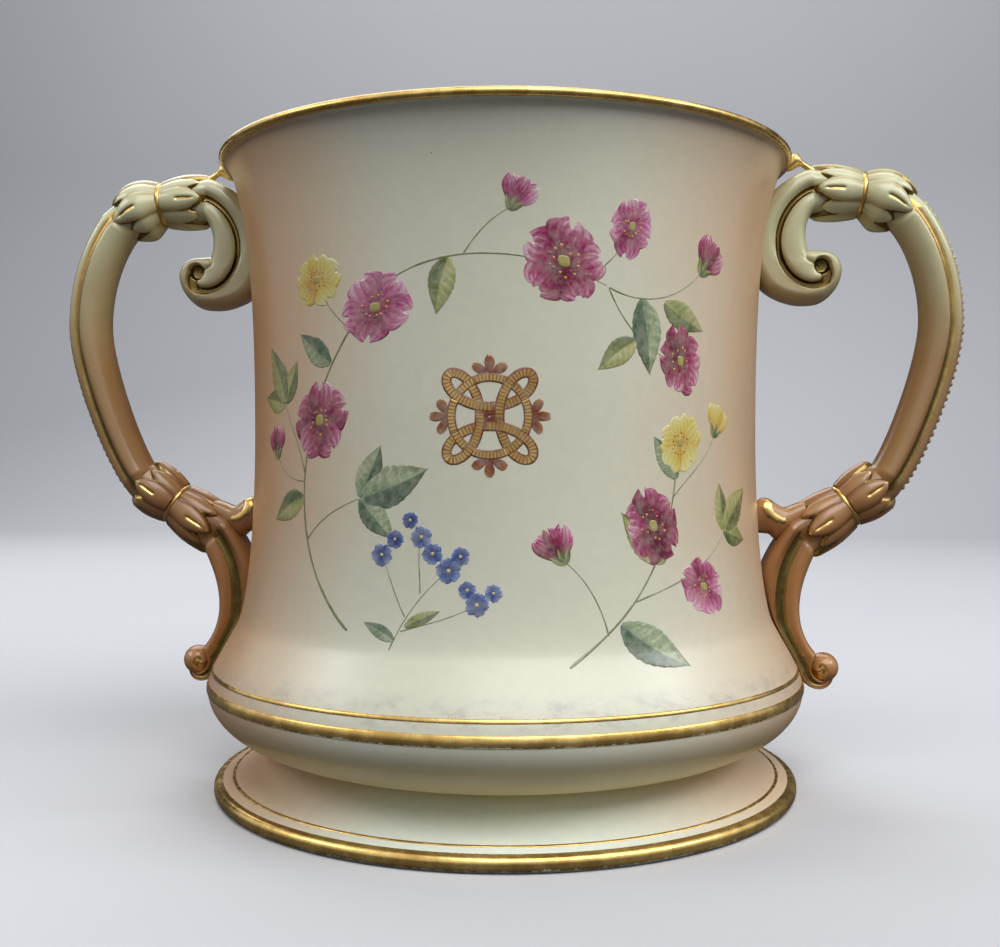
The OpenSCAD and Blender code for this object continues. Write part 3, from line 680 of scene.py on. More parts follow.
def collar_ring(name, stands_for, c, tilt):
    u = np.linspace(-1, 1, 11)
    axis = c + (u * RING_L * 0.55)[:, None] * way(tilt)
    r = (RING_R - 0.65 + 0.68 * np.sqrt(np.clip(1 - (0.96 * u) ** 2, 0, 1)))[:, None]
    w = around(72)
    gilded(name, stands_for, sections(axis, way(tilt + 90), r * np.cos(w), r * np.sin(w)))


collar_ring("upper_collar_ring", "upper_ring", UPPER_C, RING_TILT)
collar_ring("lower_collar_ring", "lower_ring", LOWER_C, LOWER_TILT)

# Upper scrolls: from the upper collar each handle turns down the wall and winds into a volute,
# as two rounded reeds with a narrow gilded groove between them that runs into a sunk eye.
SCROLL_HALF = 6.5
EYE = np.array([float(wall_r(133.2)) + 15.1, 133.2])
VOLUTE_R = 12.8
VOLUTE_EYE = 1.6
WINDING = 0.646
SUNK_EYE = 1.95
GROOVE_HALF = 1.0
REED_TIP = 243.0
WIND_FROM = 150.0
WIND_JOIN = (154.0, 176.0)
JOIN_ROWS = slice(25, 53)
STOP_ROWS = (0, 8, 20, 30, 54, 66)


def mirrored(mark):
    return np.concatenate([mark, mark[:, ::-1]], 1)


def two_faced(plane, y):
    return np.concatenate([in_space(plane, -y), in_space(plane, y)[:, ::-1]], 1)


def seat(points, sink=0.15):
    points = points.copy()
    w = wall_r(points[..., 2]) - sink
    inside = np.hypot(points[..., 0], points[..., 1]) < w
    points[..., 0] = np.where(inside, np.sqrt(np.maximum(w * w - points[..., 1] ** 2, 1)), points[..., 0])
    return points


def through(knots, per_span):
    k = np.asarray(knots, float)
    k = np.vstack([2 * k[0] - k[1], k, 2 * k[-1] - k[-2]])
    t = np.linspace(0, 1, per_span, endpoint=False)[:, None]
    out = []
    for i in range(1, len(k) - 2):
        a, b, c, d = k[i - 1:i + 3]
        out.append(0.5 * (2 * b + (c - a) * t + (2 * a - 5 * b + 4 * c - d) * t ** 2
                          + (3 * b - 3 * c + d - a) * t ** 3))
    return np.vstack(out + [k[-2:-1]])


def reed_section(groove_at, groove_w, depth):
    g0, g1 = groove_at - groove_w, groove_at + groove_w
    half = through([(0, 0), (0.0, 0.4), (0.035, 0.66), (g0 * 0.35, 0.92), (g0 * 0.7, 0.95), (g0, 0.85),
                    (groove_at - groove_w * 0.5, 1 - depth * 0.9), (groove_at, 1 - depth),
                    (groove_at + groove_w * 0.5, 1 - depth * 0.9), (g1, 0.87), (mix(g1, 1, 0.28), 1.0),
                    (mix(g1, 1, 0.66), 0.94), (0.98, 0.68), (1.0, 0.4), (1, 0)], 6)
    half[:, 0] = np.clip(half[:, 0], 0, 1)
    return half


def reed_rings(inner, outer, half_breadth, share, groove_at, groove_w, depth):
    reeds = np.array([reed_section(a, b, depth) for a, b in zip(groove_at, groove_w)])
    w = np.linspace(0, math.pi, reeds.shape[1])
    share, half_breadth = share[:, None], half_breadth[:, None]
    q = mix((1 - np.cos(w))[None] / 2, reeds[..., 0], share)
    y = mix(TENON_R * np.sin(w)[None], half_breadth * reeds[..., 1], share)
    plane = inner[:, None, :] + q[..., None] * (outer - inner)[:, None, :]
    off = np.abs(q - groove_at[:, None])
    from_groove = off / groove_w[:, None]
    gilt_mark = smooth(from_groove, 1.0, 0.72) * share
    # Painted shade: the reeds darken in and beside the groove and along both outer edges
    rim = np.maximum(smooth(q, 0.09, 0.0), smooth(q, 0.93, 1.0)) * 0.35
    shade_mark = 0.4 * smooth(from_groove, 2.4, 1.0) + 0.6 * smooth(from_groove, 1.0, 0.6) + rim
    return two_faced(plane, y), mirrored(gilt_mark), mirrored(np.clip(shade_mark, 0, 1)), mirrored(q)


def relax(line, rounds):
    for _ in range(rounds):
        line[1:-1] = (line[:-2] + 2 * line[1:-1] + line[2:]) / 4


def eased(x, knots):
    curve = through(knots, 24)
    order = np.argsort(curve[:, 0])
    return np.interp(x, curve[order, 0], curve[order, 1])


# The volute's radii at each turn of the winding: the middle of the groove and the inner and outer edges
wind = np.arange(WIND_JOIN[0], 568.0, 3.0)
groove_r = VOLUTE_EYE + (VOLUTE_R - VOLUTE_EYE) * np.exp(-WINDING * np.radians(wind - WIND_FROM))
near = np.interp(wind, WIND_JOIN, [2.0, 0.0])
far = eased(wind, [
    (146, 22.0), (150, 21.5), (165, 19.6), (180, 17.6), (200, 15.6), (209, 14.4), (226, 12.3), (249, 10.3),
    (270, 9.1), (296, 7.4), (325, 6.2), (360, 5.5), (386, 5.1), (422, 4.6), (450, 4.45), (470, 4.75),
    (484, 5.5), (500, 6.4), (514, 6.6), (540, 5.0), (570, 3.0)])
spokes = np.array([way(v) for v in wind])
volute_start = EYE + VOLUTE_R * way(WIND_FROM)
scroll_tip = UPPER_IN + LEAF_TIP * way(SCROLL_TILT)
drop = bezier([scroll_tip, scroll_tip + 2.48 * way(SCROLL_TILT),
               volute_start + (0.1, VOLUTE_R * 0.62), volute_start], 40)
t = np.linspace(0, 1, 41)
lean = np.array([way(mix(SCROLL_TILT - 90, WIND_FROM, v)) for v in t])
drop_in = drop - eased(t, [(-0.1, 5.3), (0, TENON_R), (0.3, 6.2), (0.5, 7.2), (0.7, 8.5),
                           (1, VOLUTE_R - 2.1), (1.1, 11.4)])[:, None] * lean
drop_out = drop + mix(TENON_R, 8.6, t ** 3)[:, None] * lean
drop_share = smooth((drop - scroll_tip) @ way(SCROLL_TILT), -3.0, 1.0)
tenon = np.array([UPPER_IN - TENON_L * way(SCROLL_TILT), UPPER_IN - 1.5 * way(SCROLL_TILT)])
inner = np.vstack([tenon - TENON_R * way(SCROLL_TILT - 90), drop_in, EYE + near[:, None] * spokes])
outer = np.vstack([tenon + TENON_R * way(SCROLL_TILT - 90), drop_out, EYE + far[:, None] * spokes])
path = np.vstack([tenon, drop, EYE + groove_r[:, None] * spokes])
for rail in (inner, outer, path):
    relax(rail[JOIN_ROWS], 10)
share = np.concatenate([[0, 0.3], drop_share, np.ones(len(wind))])
half = np.full(len(inner), SCROLL_HALF)
turned_in = slice(len(inner) - len(wind), None)
across = np.linalg.norm(outer - inner, axis=1)
groove_at = np.clip(np.linalg.norm(path - inner, axis=1) / across, 0.2, 0.8)
groove_w = GROOVE_HALF / across
rings, gilt_mark, shade_mark, q = reed_rings(inner, outer, half, share, groove_at, groove_w, 0.3)

# The winding is carved again: the inner reed ends bluntly and the groove runs round it into the eye
a, d, g, w = near[:, None], far[:, None], groove_r[:, None], wind[:, None]
lip = np.minimum(3.3, 0.8 * (d - g))
stops = [a]
for stop, least in ((SUNK_EYE - 0.7, 0.1), (SUNK_EYE + 0.5, 0.3), (g - GROOVE_HALF, 0.05),
                    (g + GROOVE_HALF, 0.1), (d - lip, 0.05)):
    stops.append(np.maximum(stops[-1] + least, stop))
stops = np.concatenate(stops + [d], 1)
count = q.shape[1] // 2
r = np.array([np.interp(np.arange(count), [*STOP_ROWS, count - 1], row) for row in stops])
brow = stops[:, 5:6]
r[:, STOP_ROWS[-1]:] = brow + (d - brow) * np.sin(np.linspace(0, math.pi / 2, count - STOP_ROWS[-1]))
over = np.clip((r - d) / lip + 1, 0, 1)
under = np.clip((a - r) / 1.6 + 1, 0, 1) * smooth(a, 0.0, 1.0)
reed_low = np.maximum(a, SUNK_EYE)
reed_half = np.maximum(g - GROOVE_HALF - reed_low, 0.2) / 2
past = np.radians(np.maximum(w - REED_TIP, 0)) * (reed_low + reed_half)
tip_half = np.interp(REED_TIP, wind, reed_half[:, 0])
off_reed = np.hypot(past, r - reed_low - reed_half) - np.where(w < REED_TIP, reed_half, tip_half)
sunk_edge = mix(g + 0.85 * GROOVE_HALF, SUNK_EYE, smooth(w, 285, 365))
sunk = smooth(r - sunk_edge, 0.55, -0.4) * smooth(off_reed, -0.5, 0.4) * smooth(w, REED_TIP - 12, REED_TIP)
cut = smooth(np.abs(r - g), 1.2 * GROOVE_HALF, 0.5 * GROOVE_HALF) * smooth(w, 320, 285)
crown = 0.86 + 0.14 * np.sqrt(np.clip(1 - (1 + off_reed / reed_half) ** 2, 0, 1))
crown = np.where(r < g, mix(crown, 1.0, smooth(w, 262, 280)), 1.0)
rise = 0.98 * np.sqrt(1 - over ** 2.0) * np.sqrt(1 - under ** 2.3)
rise = rise * crown * (1 - 0.3 * np.maximum(cut, sunk))
tucked = smooth(w, 500, 548)
eye = smooth(r, SUNK_EYE + 0.35, SUNK_EYE - 0.6)
dish = 0.5 + 0.05 * (r / SUNK_EYE) ** 2 - 0.04 * tucked * smooth(r, 0.0, 1.0)
rise = mix(rise * mix(1.0, 0.8, tucked), dish, eye)
wound = two_faced(EYE + r[..., None] * spokes[:, None, :], SCROLL_HALF * rise)
gold = smooth(np.abs(r - g), 1.15 * GROOVE_HALF, 0.8 * GROOVE_HALF) * smooth(w, 310, 285)
floor_gold = smooth(r - sunk_edge, 0.2, -0.25) * smooth(off_reed, -0.05, 0.25)
gold = np.maximum(gold, floor_gold * smooth(w, REED_TIP - 12, REED_TIP))
gold = np.maximum(gold, smooth(r, SUNK_EYE + 0.2, SUNK_EYE - 0.2))
# Painted shade: the groove and eye, a band beside the groove and the outer brim of the winding are darkened
beside = 0.45 * smooth(np.abs(r - g), 2.4, 1.0) * smooth(w, 400, 320)
painted_scroll_shade = np.clip(gold + beside + 0.4 * smooth(over, 0.75, 1.0), 0, 1)
match = smooth(w, *WIND_JOIN)
rings[turned_in] = mix(rings[turned_in], wound, match[..., None])
gilt_mark[turned_in] = mix(gilt_mark[turned_in], mirrored(gold), match)
shade_mark[turned_in] = mix(shade_mark[turned_in], mirrored(painted_scroll_shade), match)
moulded("upper_scroll_reeds", "upper_scroll", seat(rings), gilt_mark, shade_mark, 55)

# Rim tips: a small gilded curl that runs from the top leaf of each upper collar to the lip,
# swells into a bead there and is webbed to the underside of the lip, moulded with the handle.
def tongue(stations, top, low, half, steps, round_top, round_side):
    w = around(steps)
    up = np.sign(np.cos(w)) * np.abs(np.cos(w)) ** round_top
    out = np.sign(np.sin(w)) * np.abs(np.sin(w)) ** round_side
    z = (top + low)[:, None] / 2 + (top - low)[:, None] / 2 * up
    plane = np.stack([np.broadcast_to(stations[:, None], z.shape), z], -1)
    return in_space(plane, half[:, None] * out)


rho = np.linspace(70.7, 80.0, 48)
top = eased(rho, [(70.5, 158.9), (71.6, 159.3), (72.6, 159.9), (73.3, 161.2), (74.2, 162.5), (75.0, 162.8),
                  (75.8, 162.4), (76.4, 161.5), (77.0, 160.6), (77.8, 160.1), (78.8, 159.5), (80.1, 158.8)])
low = eased(rho, [(70.5, 158.0), (71.6, 158.3), (72.6, 158.2), (73.9, 158.4), (75.2, 159.1),
                  (76.2, 159.5), (77.0, 159.1), (77.8, 158.4), (78.8, 157.3), (80.1, 156.4)])
half = eased(rho, [(70.5, 1.0), (72.0, 1.1), (73.6, 1.7), (75.0, 2.0),
                   (76.2, 1.3), (77.0, 0.9), (78.4, 1.3), (80.1, 1.6)])
gilded("rim_tip_curl", "rim_tip", tongue(rho, top, low, half, 28, 1.0, 1.0))

# Lower scrolls: from the lower collar each handle runs to the wall and down the flare, again as
# two reeds with a gilded groove between them, and curls up under a ball.
BRACKET_HALF = 5.75
BRACKET_TOP = 56.0
KNOB_R = 3.8
KNOB = np.array([float(wall_r(30.2)) + 7.0, 30.2])
SLIM = 6.0
CURL_GAP = 1.0
CURL_FROM = 121.0
bracket_start = LOWER_IN - LEAF_TIP * way(LOWER_TILT)
free_start = bracket_start + TENON_R * way(LOWER_TILT - 90)
wall_start = bracket_start - TENON_R * way(LOWER_TILT - 90)
free_end = KNOB + (KNOB_R + CURL_GAP) * way(CURL_FROM)
slim_z = mix(BRACKET_TOP, KNOB[1], 0.55)
slim_r = float(wall_r(slim_z))
free_rail = bezier([free_start, (slim_r + SLIM * 1.1, mix(BRACKET_TOP, slim_z, 0.3)),
                    (slim_r + SLIM * 0.7, slim_z), free_end], 70)
leave = np.array([float(wall_r(BRACKET_TOP)), BRACKET_TOP])
lead = bezier([wall_start, wall_start + 4 * way(LOWER_TILT + 205), leave + (3.2, 7.2), leave], 21)
down_z = np.linspace(BRACKET_TOP, KNOB[1] - KNOB_R / 2, 50)[1:]
wall_rail = np.vstack([lead, np.stack([wall_r(down_z), down_z], 1)])
t = np.linspace(0, 1, 71)
tenon_shift = (TENON_L + LEAF_TIP) * way(LOWER_TILT)
relax(wall_rail, 12)
reach_b = wall_rail[-1] - KNOB
curl_t = np.linspace(0, 1, 22)[1:]
curl_a = [mix(CURL_FROM, 300, v) for v in curl_t]
curl_b = [mix(360 + math.degrees(math.atan2(reach_b[1], reach_b[0])), 312, v) for v in curl_t]
curl_near = [mix(KNOB_R + CURL_GAP, KNOB_R - 0.9, math.sqrt(v)) for v in curl_t]
curl_far = [mix(np.linalg.norm(reach_b), KNOB_R - 0.1, v ** 1.4) for v in curl_t]
curl_in = np.array([KNOB + r * way(a) for r, a in zip(curl_near, curl_a)])
curl_out = np.array([KNOB + r * way(a) for r, a in zip(curl_far, curl_b)])
inner = np.vstack([[free_start + tenon_shift], free_rail, curl_in])
outer = np.vstack([[wall_start + tenon_shift], wall_rail, curl_out])
share = np.concatenate([[0], np.clip(0.4 + t * 14, 0, 1), np.ones(len(curl_t))])
half = np.concatenate([[TENON_R], BRACKET_HALF * mix(1, 0.82, t),
                       BRACKET_HALF * mix(0.82, 0.12, curl_t ** 2.2)])
width = np.linalg.norm(outer - inner, axis=1)
channel = through([(76.4, 64.8), (74.1, 60.9), (72.2, 56.2), (71.3, 51.5), (71.1, 46.8), (71.8, 42.1),
                   (73.2, 37.9), (75.1, 34.0), (77.2, 31.1), (79.7, 29.2)], 24)
over = channel[None] - inner[:, None]
span_dir = ((outer - inner) / width[:, None])[:, None]
miss = np.abs(over[..., 0] * span_dir[..., 1] - over[..., 1] * span_dir[..., 0])
best = over[np.arange(len(inner)), miss.argmin(1)]
groove_at = np.clip((best * span_dir[:, 0]).sum(1) / width, 0.3, 0.7)
groove_at[-len(curl_t):] = groove_at[-len(curl_t) - 1]
groove_w = np.clip(1.65 / width, 0.1, 0.24) * np.concatenate([np.ones(len(t) + 1), mix(1.0, 0.8, curl_t)])
relax(groove_at, 8)
rings, gilt_mark, shade_mark, q = reed_rings(inner, outer, half, share, groove_at, groove_w, 0.26)
# Painted shade: the reed on the wall side is darkened as well
shade_mark = np.clip(shade_mark + 0.5 * smooth(q, 0.6, 0.9), 0, 1)
gilt_mark[-len(curl_t):] *= smooth(curl_t, 0.75, 0.45)[:, None]
moulded("lower_scroll_reeds", "lower_scroll", seat(rings), gilt_mark, shade_mark, 55)

# Scroll balls: the ball that each lower scroll curls round. The gilded groove runs on to its
# two faces and ends in a dimple.
def from_line(plane, line):
    line = through(line, 12)
    return np.sqrt(((plane[..., None, :] - line) ** 2).sum(-1)).min(-1)


v = np.linspace(0, math.pi, 48)[:, None]
w = around(72)
face = np.abs(np.cos(v)) * np.ones_like(w)
plane = KNOB + KNOB_R * np.sin(v)[..., None] * circle(w)
groove_end = [(-3.6, -1.2), (-2.6, -1.7), (-1.4, -1.5), (-0.7, -0.6), (-1.0, 0.2)]
trail = from_line(plane, KNOB + np.array(groove_end))
sunk = smooth(trail, 1.35, 0.6) * smooth(face, 0.25, 0.5)
r = KNOB_R * (1 - 0.12 * sunk)
rings = in_space(KNOB + (r * np.sin(v))[..., None] * circle(w), -1.1 * r * np.cos(v))
# Painted shade round the ball's edge, between its two faces
moulded("scroll_ball", "knob", rings, sunk, 0.5 * smooth(face, 0.6, 0.2), 60)

# Hooks: the curled leaf that springs back from each lower collar and is webbed to the wall,
# with a gilded crescent along the edge of its hollow.
rho = np.linspace(64.9, 77.4, 64)
top = eased(rho, [(64.5, 72.0), (65.6, 73.2), (66.6, 73.95), (67.6, 74.1), (68.6, 73.8), (69.6, 73.2),
                  (70.7, 72.4), (72.2, 71.63), (73.4, 71.8), (74.6, 72.3), (76.0, 72.8), (77.6, 73.2)])
low = eased(rho, [(64.5, 64.9), (66.6, 64.9), (68.6, 64.6), (69.6, 63.7), (71.0, 63.4), (73.0, 65.0),
                  (77.6, 68.6)])
half = eased(rho, [(64.5, 3.6), (68.0, 4.0), (72.0, 4.2), (77.6, 3.6)])
rings = tongue(rho, top, low, half, 64, 0.9, 0.7)
plane = rings[..., [0, 2]]
edge = np.array([(68.5, 73.6), (67.75, 72.6), (67.7, 71.5), (68.5, 69.8), (70.1, 68.6), (71.9, 68.1)])
broad = np.interp(plane[..., 1], [68, 69.5, 72.5, 74], [0.5, 1.05, 1.1, 0.8])
outward = np.abs(rings[..., 1]) / half[:, None]
gilt_mark = smooth(from_line(plane, edge) / broad, 1.15, 0.8) * smooth(outward, 0.2, 0.4)
brink = np.interp(plane[..., 0], [67.7, 68.5, 70.1, 71.9, 75], [72.0, 69.8, 68.6, 68.1, 68.1])
# Painted shade: the face below and left of the gilded crescent is darkened
shade_mark = 0.8 * smooth(plane[..., 1] - brink, 0.2, -0.6)
rings[..., 1] *= 1 + 0.05 * gilt_mark
moulded("wall_hook", "hook", rings, gilt_mark, shade_mark, 60)

# Painted sprays: wild roses, primroses and small blue flowers laid on the glaze with enamel colours,
# stroke by stroke, and fired again. Each stroke is a film a few hundredths of a millimetre thick.
FRONT = 4.2
ROSE = [(92, 12, 46), (138, 24, 72), (184, 76, 124), (224, 168, 196)]
ROSE_PALE = [(126, 26, 72), (172, 62, 114), (208, 126, 166), (234, 198, 216)]
PRIMROSE = [(206, 150, 40), (218, 198, 84), (228, 216, 132), (236, 230, 178)]
BLUE = [(44, 58, 118), (62, 84, 150), (104, 128, 184), (170, 184, 214)]
LEAF = [(74, 92, 46), (112, 126, 62), (156, 162, 92), (196, 190, 120)]
LEAF_COOL = [(62, 88, 66), (92, 120, 88), (136, 156, 118), (184, 192, 150)]
STEM = [(92, 98, 52), (128, 132, 78)]
RUST = (150, 88, 48)
STAMEN = (214, 142, 34)
rng = np.random.default_rng(11)

enamel, tree, place = new_material("enamel_paint")
ground = use_group(sprayed_ground, Place=place, Blush=1.0)["Color"]
coat = mark_in(tree, "paint")
wash = ease(noise(place, 420.0, 4.0, 0.6), 0.3, 0.72, 0.78, 1.08)
cover = calc("MINIMUM", times(coat["Alpha"], wash), 1.0)
colour = blend(cover, ground, coat["Color"])
gold = use_group(rubbed_gold, Place=place)
gilt = mark_in(tree, "gilt")["Fac"]
colour = blend(gilt, colour, gold["Color"])
glaze = use_group(fired_glaze, Place=place, Gloss=0.26)
rough = plus(glaze["Roughness"], times(gilt, 0.08))
strokes = plus(glaze["Height"], times(wash, 0.6))
principled(colour, rough, bumped(strokes, 0.07, 0.0006), gilt, 0.1)


def on_cup(s, z, lift):
    a = math.radians(FRONT) + s / WAIST[0]
    r = wall_r(z) + lift
    return np.stack([r * np.sin(a), -r * np.cos(a), z], -1)


class Painting:
    def __init__(self):
        self.points, self.faces, self.paint, self.gilt, self.layer = [], [], [], [], 0

    def stroke(self, s, z, colour, alpha=1.0, gold=0.0, lift=0.0):
        m, n = s.shape
        self.layer += 1
        u = np.linspace(0, 1, m)[:, None]
        v = np.linspace(0, 1, n)[None]
        rim = np.minimum(np.minimum(u, 1 - u) * m, np.minimum(v, 1 - v) * n)
        top = -0.02 + (0.07 + 0.0014 * self.layer + lift) * smooth(rim, 0.0, 1.4)
        start = sum(len(p) for p in self.points)
        back = np.full_like(s, -0.06)
        self.points += [on_cup(s, z, lift_at).reshape(-1, 3) for lift_at in (top, back)]
        cover = np.broadcast_to(np.asarray(alpha)[..., None], (m, n, 1))
        full = np.concatenate([np.broadcast_to(colour, (m, n, 3)), cover], -1)
        self.paint += [full.reshape(-1, 4)] * 2
        self.gilt += [np.broadcast_to(gold, (m, n)).reshape(-1)] * 2
        k = np.arange(m * n).reshape(m, n) + start
        quads = np.stack([k[:-1, :-1], k[:-1, 1:], k[1:, 1:], k[1:, :-1]], -1).reshape(-1, 4)
        border = np.concatenate([k[0, :], k[1:, -1], k[-1, -2::-1], k[-2:0:-1, 0]])
        after = np.roll(border, -1)
        sides = np.stack([after, border, border + m * n, after + m * n], -1)
        self.faces += quads.tolist() + (quads[:, ::-1] + m * n).tolist() + sides.tolist()

    def finish(self, name):
        made = new_object(name, np.vstack(self.points), faces=self.faces)
        paint = np.vstack(self.paint).astype(np.float32).ravel()
        made.data.attributes.new("paint", "FLOAT_COLOR", "POINT").data.foreach_set("color", paint)
        put_mark(made.data, "gilt", np.concatenate(self.gilt))
        finish_mesh(made.data, 70)
        made.data.materials.append(enamel)
        settle(made, [])


def pigment(rgb):
    return np.array(linear(rgb)[:3])


def tints(palette, t):
    rgb = np.array([pigment(c) for c in palette])
    t = np.clip(t, 0, 1) * (len(rgb) - 1)
    i = np.minimum(t.astype(int), len(rgb) - 2)
    return rgb[i] + (rgb[i + 1] - rgb[i]) * (t - i)[..., None]


def laid(centre, turn, squash, lean, along, across):
    a = math.radians(turn)
    x = along * math.cos(a) - across * math.sin(a)
    y = along * math.sin(a) + across * math.cos(a)
    b = math.radians(lean)
    p = x * math.cos(b) + y * math.sin(b)
    q = (-x * math.sin(b) + y * math.cos(b)) * squash
    return centre[0] + p * math.cos(b) - q * math.sin(b), centre[1] + p * math.sin(b) + q * math.cos(b)


def brush_grid(rows, columns, start=0.0):
    return np.linspace(start, 1, rows)[:, None], np.linspace(-1, 1, columns)[None]


def petal(art, centre, turn, length, width, palette, squash=1.0, lean=0.0, notch=0.16, light=0.0):
    u, v = brush_grid(20, 25, 0.04)
    belly = np.where(u < 0.66, 0.16 + 0.84 * np.sin(np.minimum(u / 0.66, 1) * math.pi / 2) ** 1.15,
                     np.sqrt(np.clip(1 - ((u - 0.66) / 0.34) ** 2 * 0.9, 0, 1)))
    p1, p2, p3 = rng.uniform(0, 6.28, 3)
    ruffle = 1 + 0.035 * np.sin(6 * v + p1) * u ** 4 + 0.03 * np.sin(11 * v + p2) * u ** 5
    along = length * u * ruffle * (1 - notch * np.exp(-((v - 0.1 * math.sin(p3)) / 0.3) ** 2) * u ** 5)
    across = width / 2 * v * belly * (1 + 0.05 * np.sin(7 * u + p2))
    s, z = laid(centre, turn, squash, lean, along, across)
    streak = 0.10 * np.sin(17 * v + 3 * np.sin(3 * u + p1)) + 0.07 * np.sin(41 * v + p3 + 2 * u)
    streak = streak + 0.05 * rng.standard_normal(streak.shape)
    tone = 0.02 + 0.7 * u ** 1.4 + 0.26 * v * math.cos(p1) + 1.2 * streak * (0.4 + u) + light
    tone = tone - 0.35 * smooth(np.abs(v), 0.8, 1.0) * smooth(u, 0.2, 0.5) * (0.5 + 0.5 * math.sin(p2))
    art.stroke(s, z, tints(palette, tone), 0.97 - 0.25 * smooth(tone, 0.7, 1.0))


def dot(art, centre, r, colour, squash=1.0, lean=0.0, shade=0.25):
    count = 11 if r > 0.9 else 5
    u, v = brush_grid(count, count, -1.0)
    s, z = laid(centre, 0, squash, lean, r * u * np.sqrt(1 - v * v / 2), r * v * np.sqrt(1 - u * u / 2))
    tone = 1 - shade * smooth(-0.5 * u - 0.85 * v, 0.0, 1.0)
    art.stroke(s, z, pigment(colour) * tone[..., None], 0.96, lift=0.04)


def blossom(art, centre, r, palette, turn=0.0, squash=0.85, lean=30.0, heart=STAMEN):
    art.layer = 20
    for i in (0, 2, 4, 1, 3):
        angle = turn + 72 * i + rng.uniform(-7, 7)
        size = r * rng.uniform(0.92, 1.08)
        notch, light = rng.uniform(0.1, 0.24), rng.uniform(-0.2, 0.18)
        petal(art, centre, angle, size, size * 1.12, palette, squash, lean, notch, light)
    dot(art, centre, r * 0.17, (168, 158, 62), squash, lean)
    for i in range(15):
        a = math.radians(turn + i * 24 + rng.uniform(-8, 8))
        reach = r * rng.uniform(0.25, 0.42)
        x, y = laid(centre, 0, squash, lean, np.array(reach * math.cos(a)), np.array(reach * math.sin(a)))
        dot(art, (float(x), float(y)), r * rng.uniform(0.035, 0.06), heart if i % 3 else (92, 40, 30))


def leaf(art, root, turn, length, width, palette, bend=0.2, light=0.0, rust=0.6, layer=12):
    art.layer = layer
    u, v = brush_grid(34, 21)
    saw = 1 + 0.09 * ((u * 9 + 0.3 * np.abs(v)) % 1 - 0.5) * np.abs(v) ** 3
    half = width / 2 * np.sin(math.pi * np.clip(u * 0.985 + 0.012, 0, 1) ** 0.82) ** 0.9 * saw + 0.05
    along = length * u + 0.1 * width * (1 - np.abs(v)) * u
    across = half * v + bend * length * (u ** 2 - 0.2 * u)
    s, z = laid(root, turn, 1.0, 0.0, along, across)
    vein = np.exp(-((np.abs(v) * 0.9 - ((u * 7.0) % 1.0)) / 0.12) ** 2)
    vein = vein * smooth(np.abs(v), 0.02, 0.15) * smooth(u, 0.97, 0.8)
    rib = np.exp(-(v / 0.07) ** 2)
    tone = 0.34 + 0.26 * np.sign(v) * smooth(np.abs(v), 0.02, 0.12) + 0.2 * vein + 0.3 * rib
    tone = tone + 0.08 * rng.standard_normal(tone.shape) + light
    tone = tone + 0.12 * np.sin(5 * u + 3 * v + rng.uniform(0, 6))
    colour = tints(palette, tone)
    burnt = smooth(u + 0.12 * rng.standard_normal(tone.shape), 0.68, 1.02)
    burnt = rust * burnt * smooth(np.abs(v), 0.1, 0.9)
    colour = mix(colour, pigment(RUST), burnt[..., None])
    art.stroke(s, z, colour, 0.95 - 0.25 * smooth(tone, 0.7, 1.0))


def stem(art, knots, thick, tip=0.5):
    art.layer = 3
    path = bezier(knots, 48)
    out = left_of(headings(path))
    u, v = brush_grid(len(path), 5)
    w = thick / 2 * mix(1.0, tip, u) * (1 + 0.15 * np.sin(23 * u))
    line = path[:, None, :] + (w * v)[..., None] * out[:, None, :]
    art.stroke(line[..., 0], line[..., 1], tints(STEM, 0.5 + 0.45 * v + 0.15 * np.sin(9 * u)), 0.93)


def bud(art, centre, turn, size, palette):
    art.layer = 20
    for swing, light in ((-26, 0.15), (26, 0.05), (0, -0.1)):
        petal(art, centre, turn + swing, size, size * 0.62, palette, light=light, notch=0.05)
    root = np.array(centre) - 0.12 * size * way(turn)
    for swing in (-34, 0, 34):
        bend = 0.1 * np.sign(swing)
        leaf(art, root, turn + swing, size * 0.5, size * 0.2, LEAF, bend, -0.1, 0.2, art.layer)


def blue_flower(art, centre, r, turn=0.0, light=0.0):
    art.layer = 20
    for i in range(5):
        petal(art, centre, turn + 72 * i, r, r, BLUE, light=light + rng.uniform(-0.1, 0.12), notch=0.04)
    dot(art, centre, r * 0.22, (226, 206, 120))


def leaf_trio(art, root, turn, length, palette, light=0.0):
    for swing, share in ((58, 0.72), (-58, 0.7), (0, 1.0)):
        leaf(art, root, turn + swing + rng.uniform(-6, 6), length * share, length * share * 0.52, palette,
             rng.uniform(-0.14, 0.14), light + rng.uniform(-0.1, 0.1), layer=round(9 + 3 * share))


climbing = Painting()
for knots, *width in (
        ([(-34, 47), (-58, 66), (-54, 94), (-30, 119)], 0.75, 0.7),
        ([(-30, 119), (-20, 129), (2, 131), (22, 121)], 0.55),
        ([(-50, 81), (-52, 88), (-56, 92), (-58, 97)], 0.5),
        ([(-48.4, 66.2), (-44, 72), (-38, 74), (-33, 76)], 0.45),
        ([(22, 121), (30, 117), (40, 119), (47, 126)], 0.45),
        ([(-9, 127.4), (-6, 132), (-3, 135), (1, 137)], 0.35),
        ([(-36, 113), (-40, 116), (-43, 119), (-45, 124)], 0.4),
        ([(18, 123), (22, 126), (25, 129), (27, 134)], 0.4),
        ([(-50, 79.4), (-56, 79.4), (-60, 82), (-62, 85)], 0.35),
        ([(22, 121), (26, 112), (32, 108), (38, 106)], 0.4)):
    stem(climbing, knots, *width)
leaf_trio(climbing, (-33, 76), 12, 17, LEAF_COOL, 0.05)
leaf_trio(climbing, (-58, 97), 118, 15, LEAF)
leaf(climbing, (-50, 76), 200, 13, 6.6, LEAF, 0.12)
leaf(climbing, (-41.2, 105.5), 150, 12, 6, LEAF_COOL, -0.1)
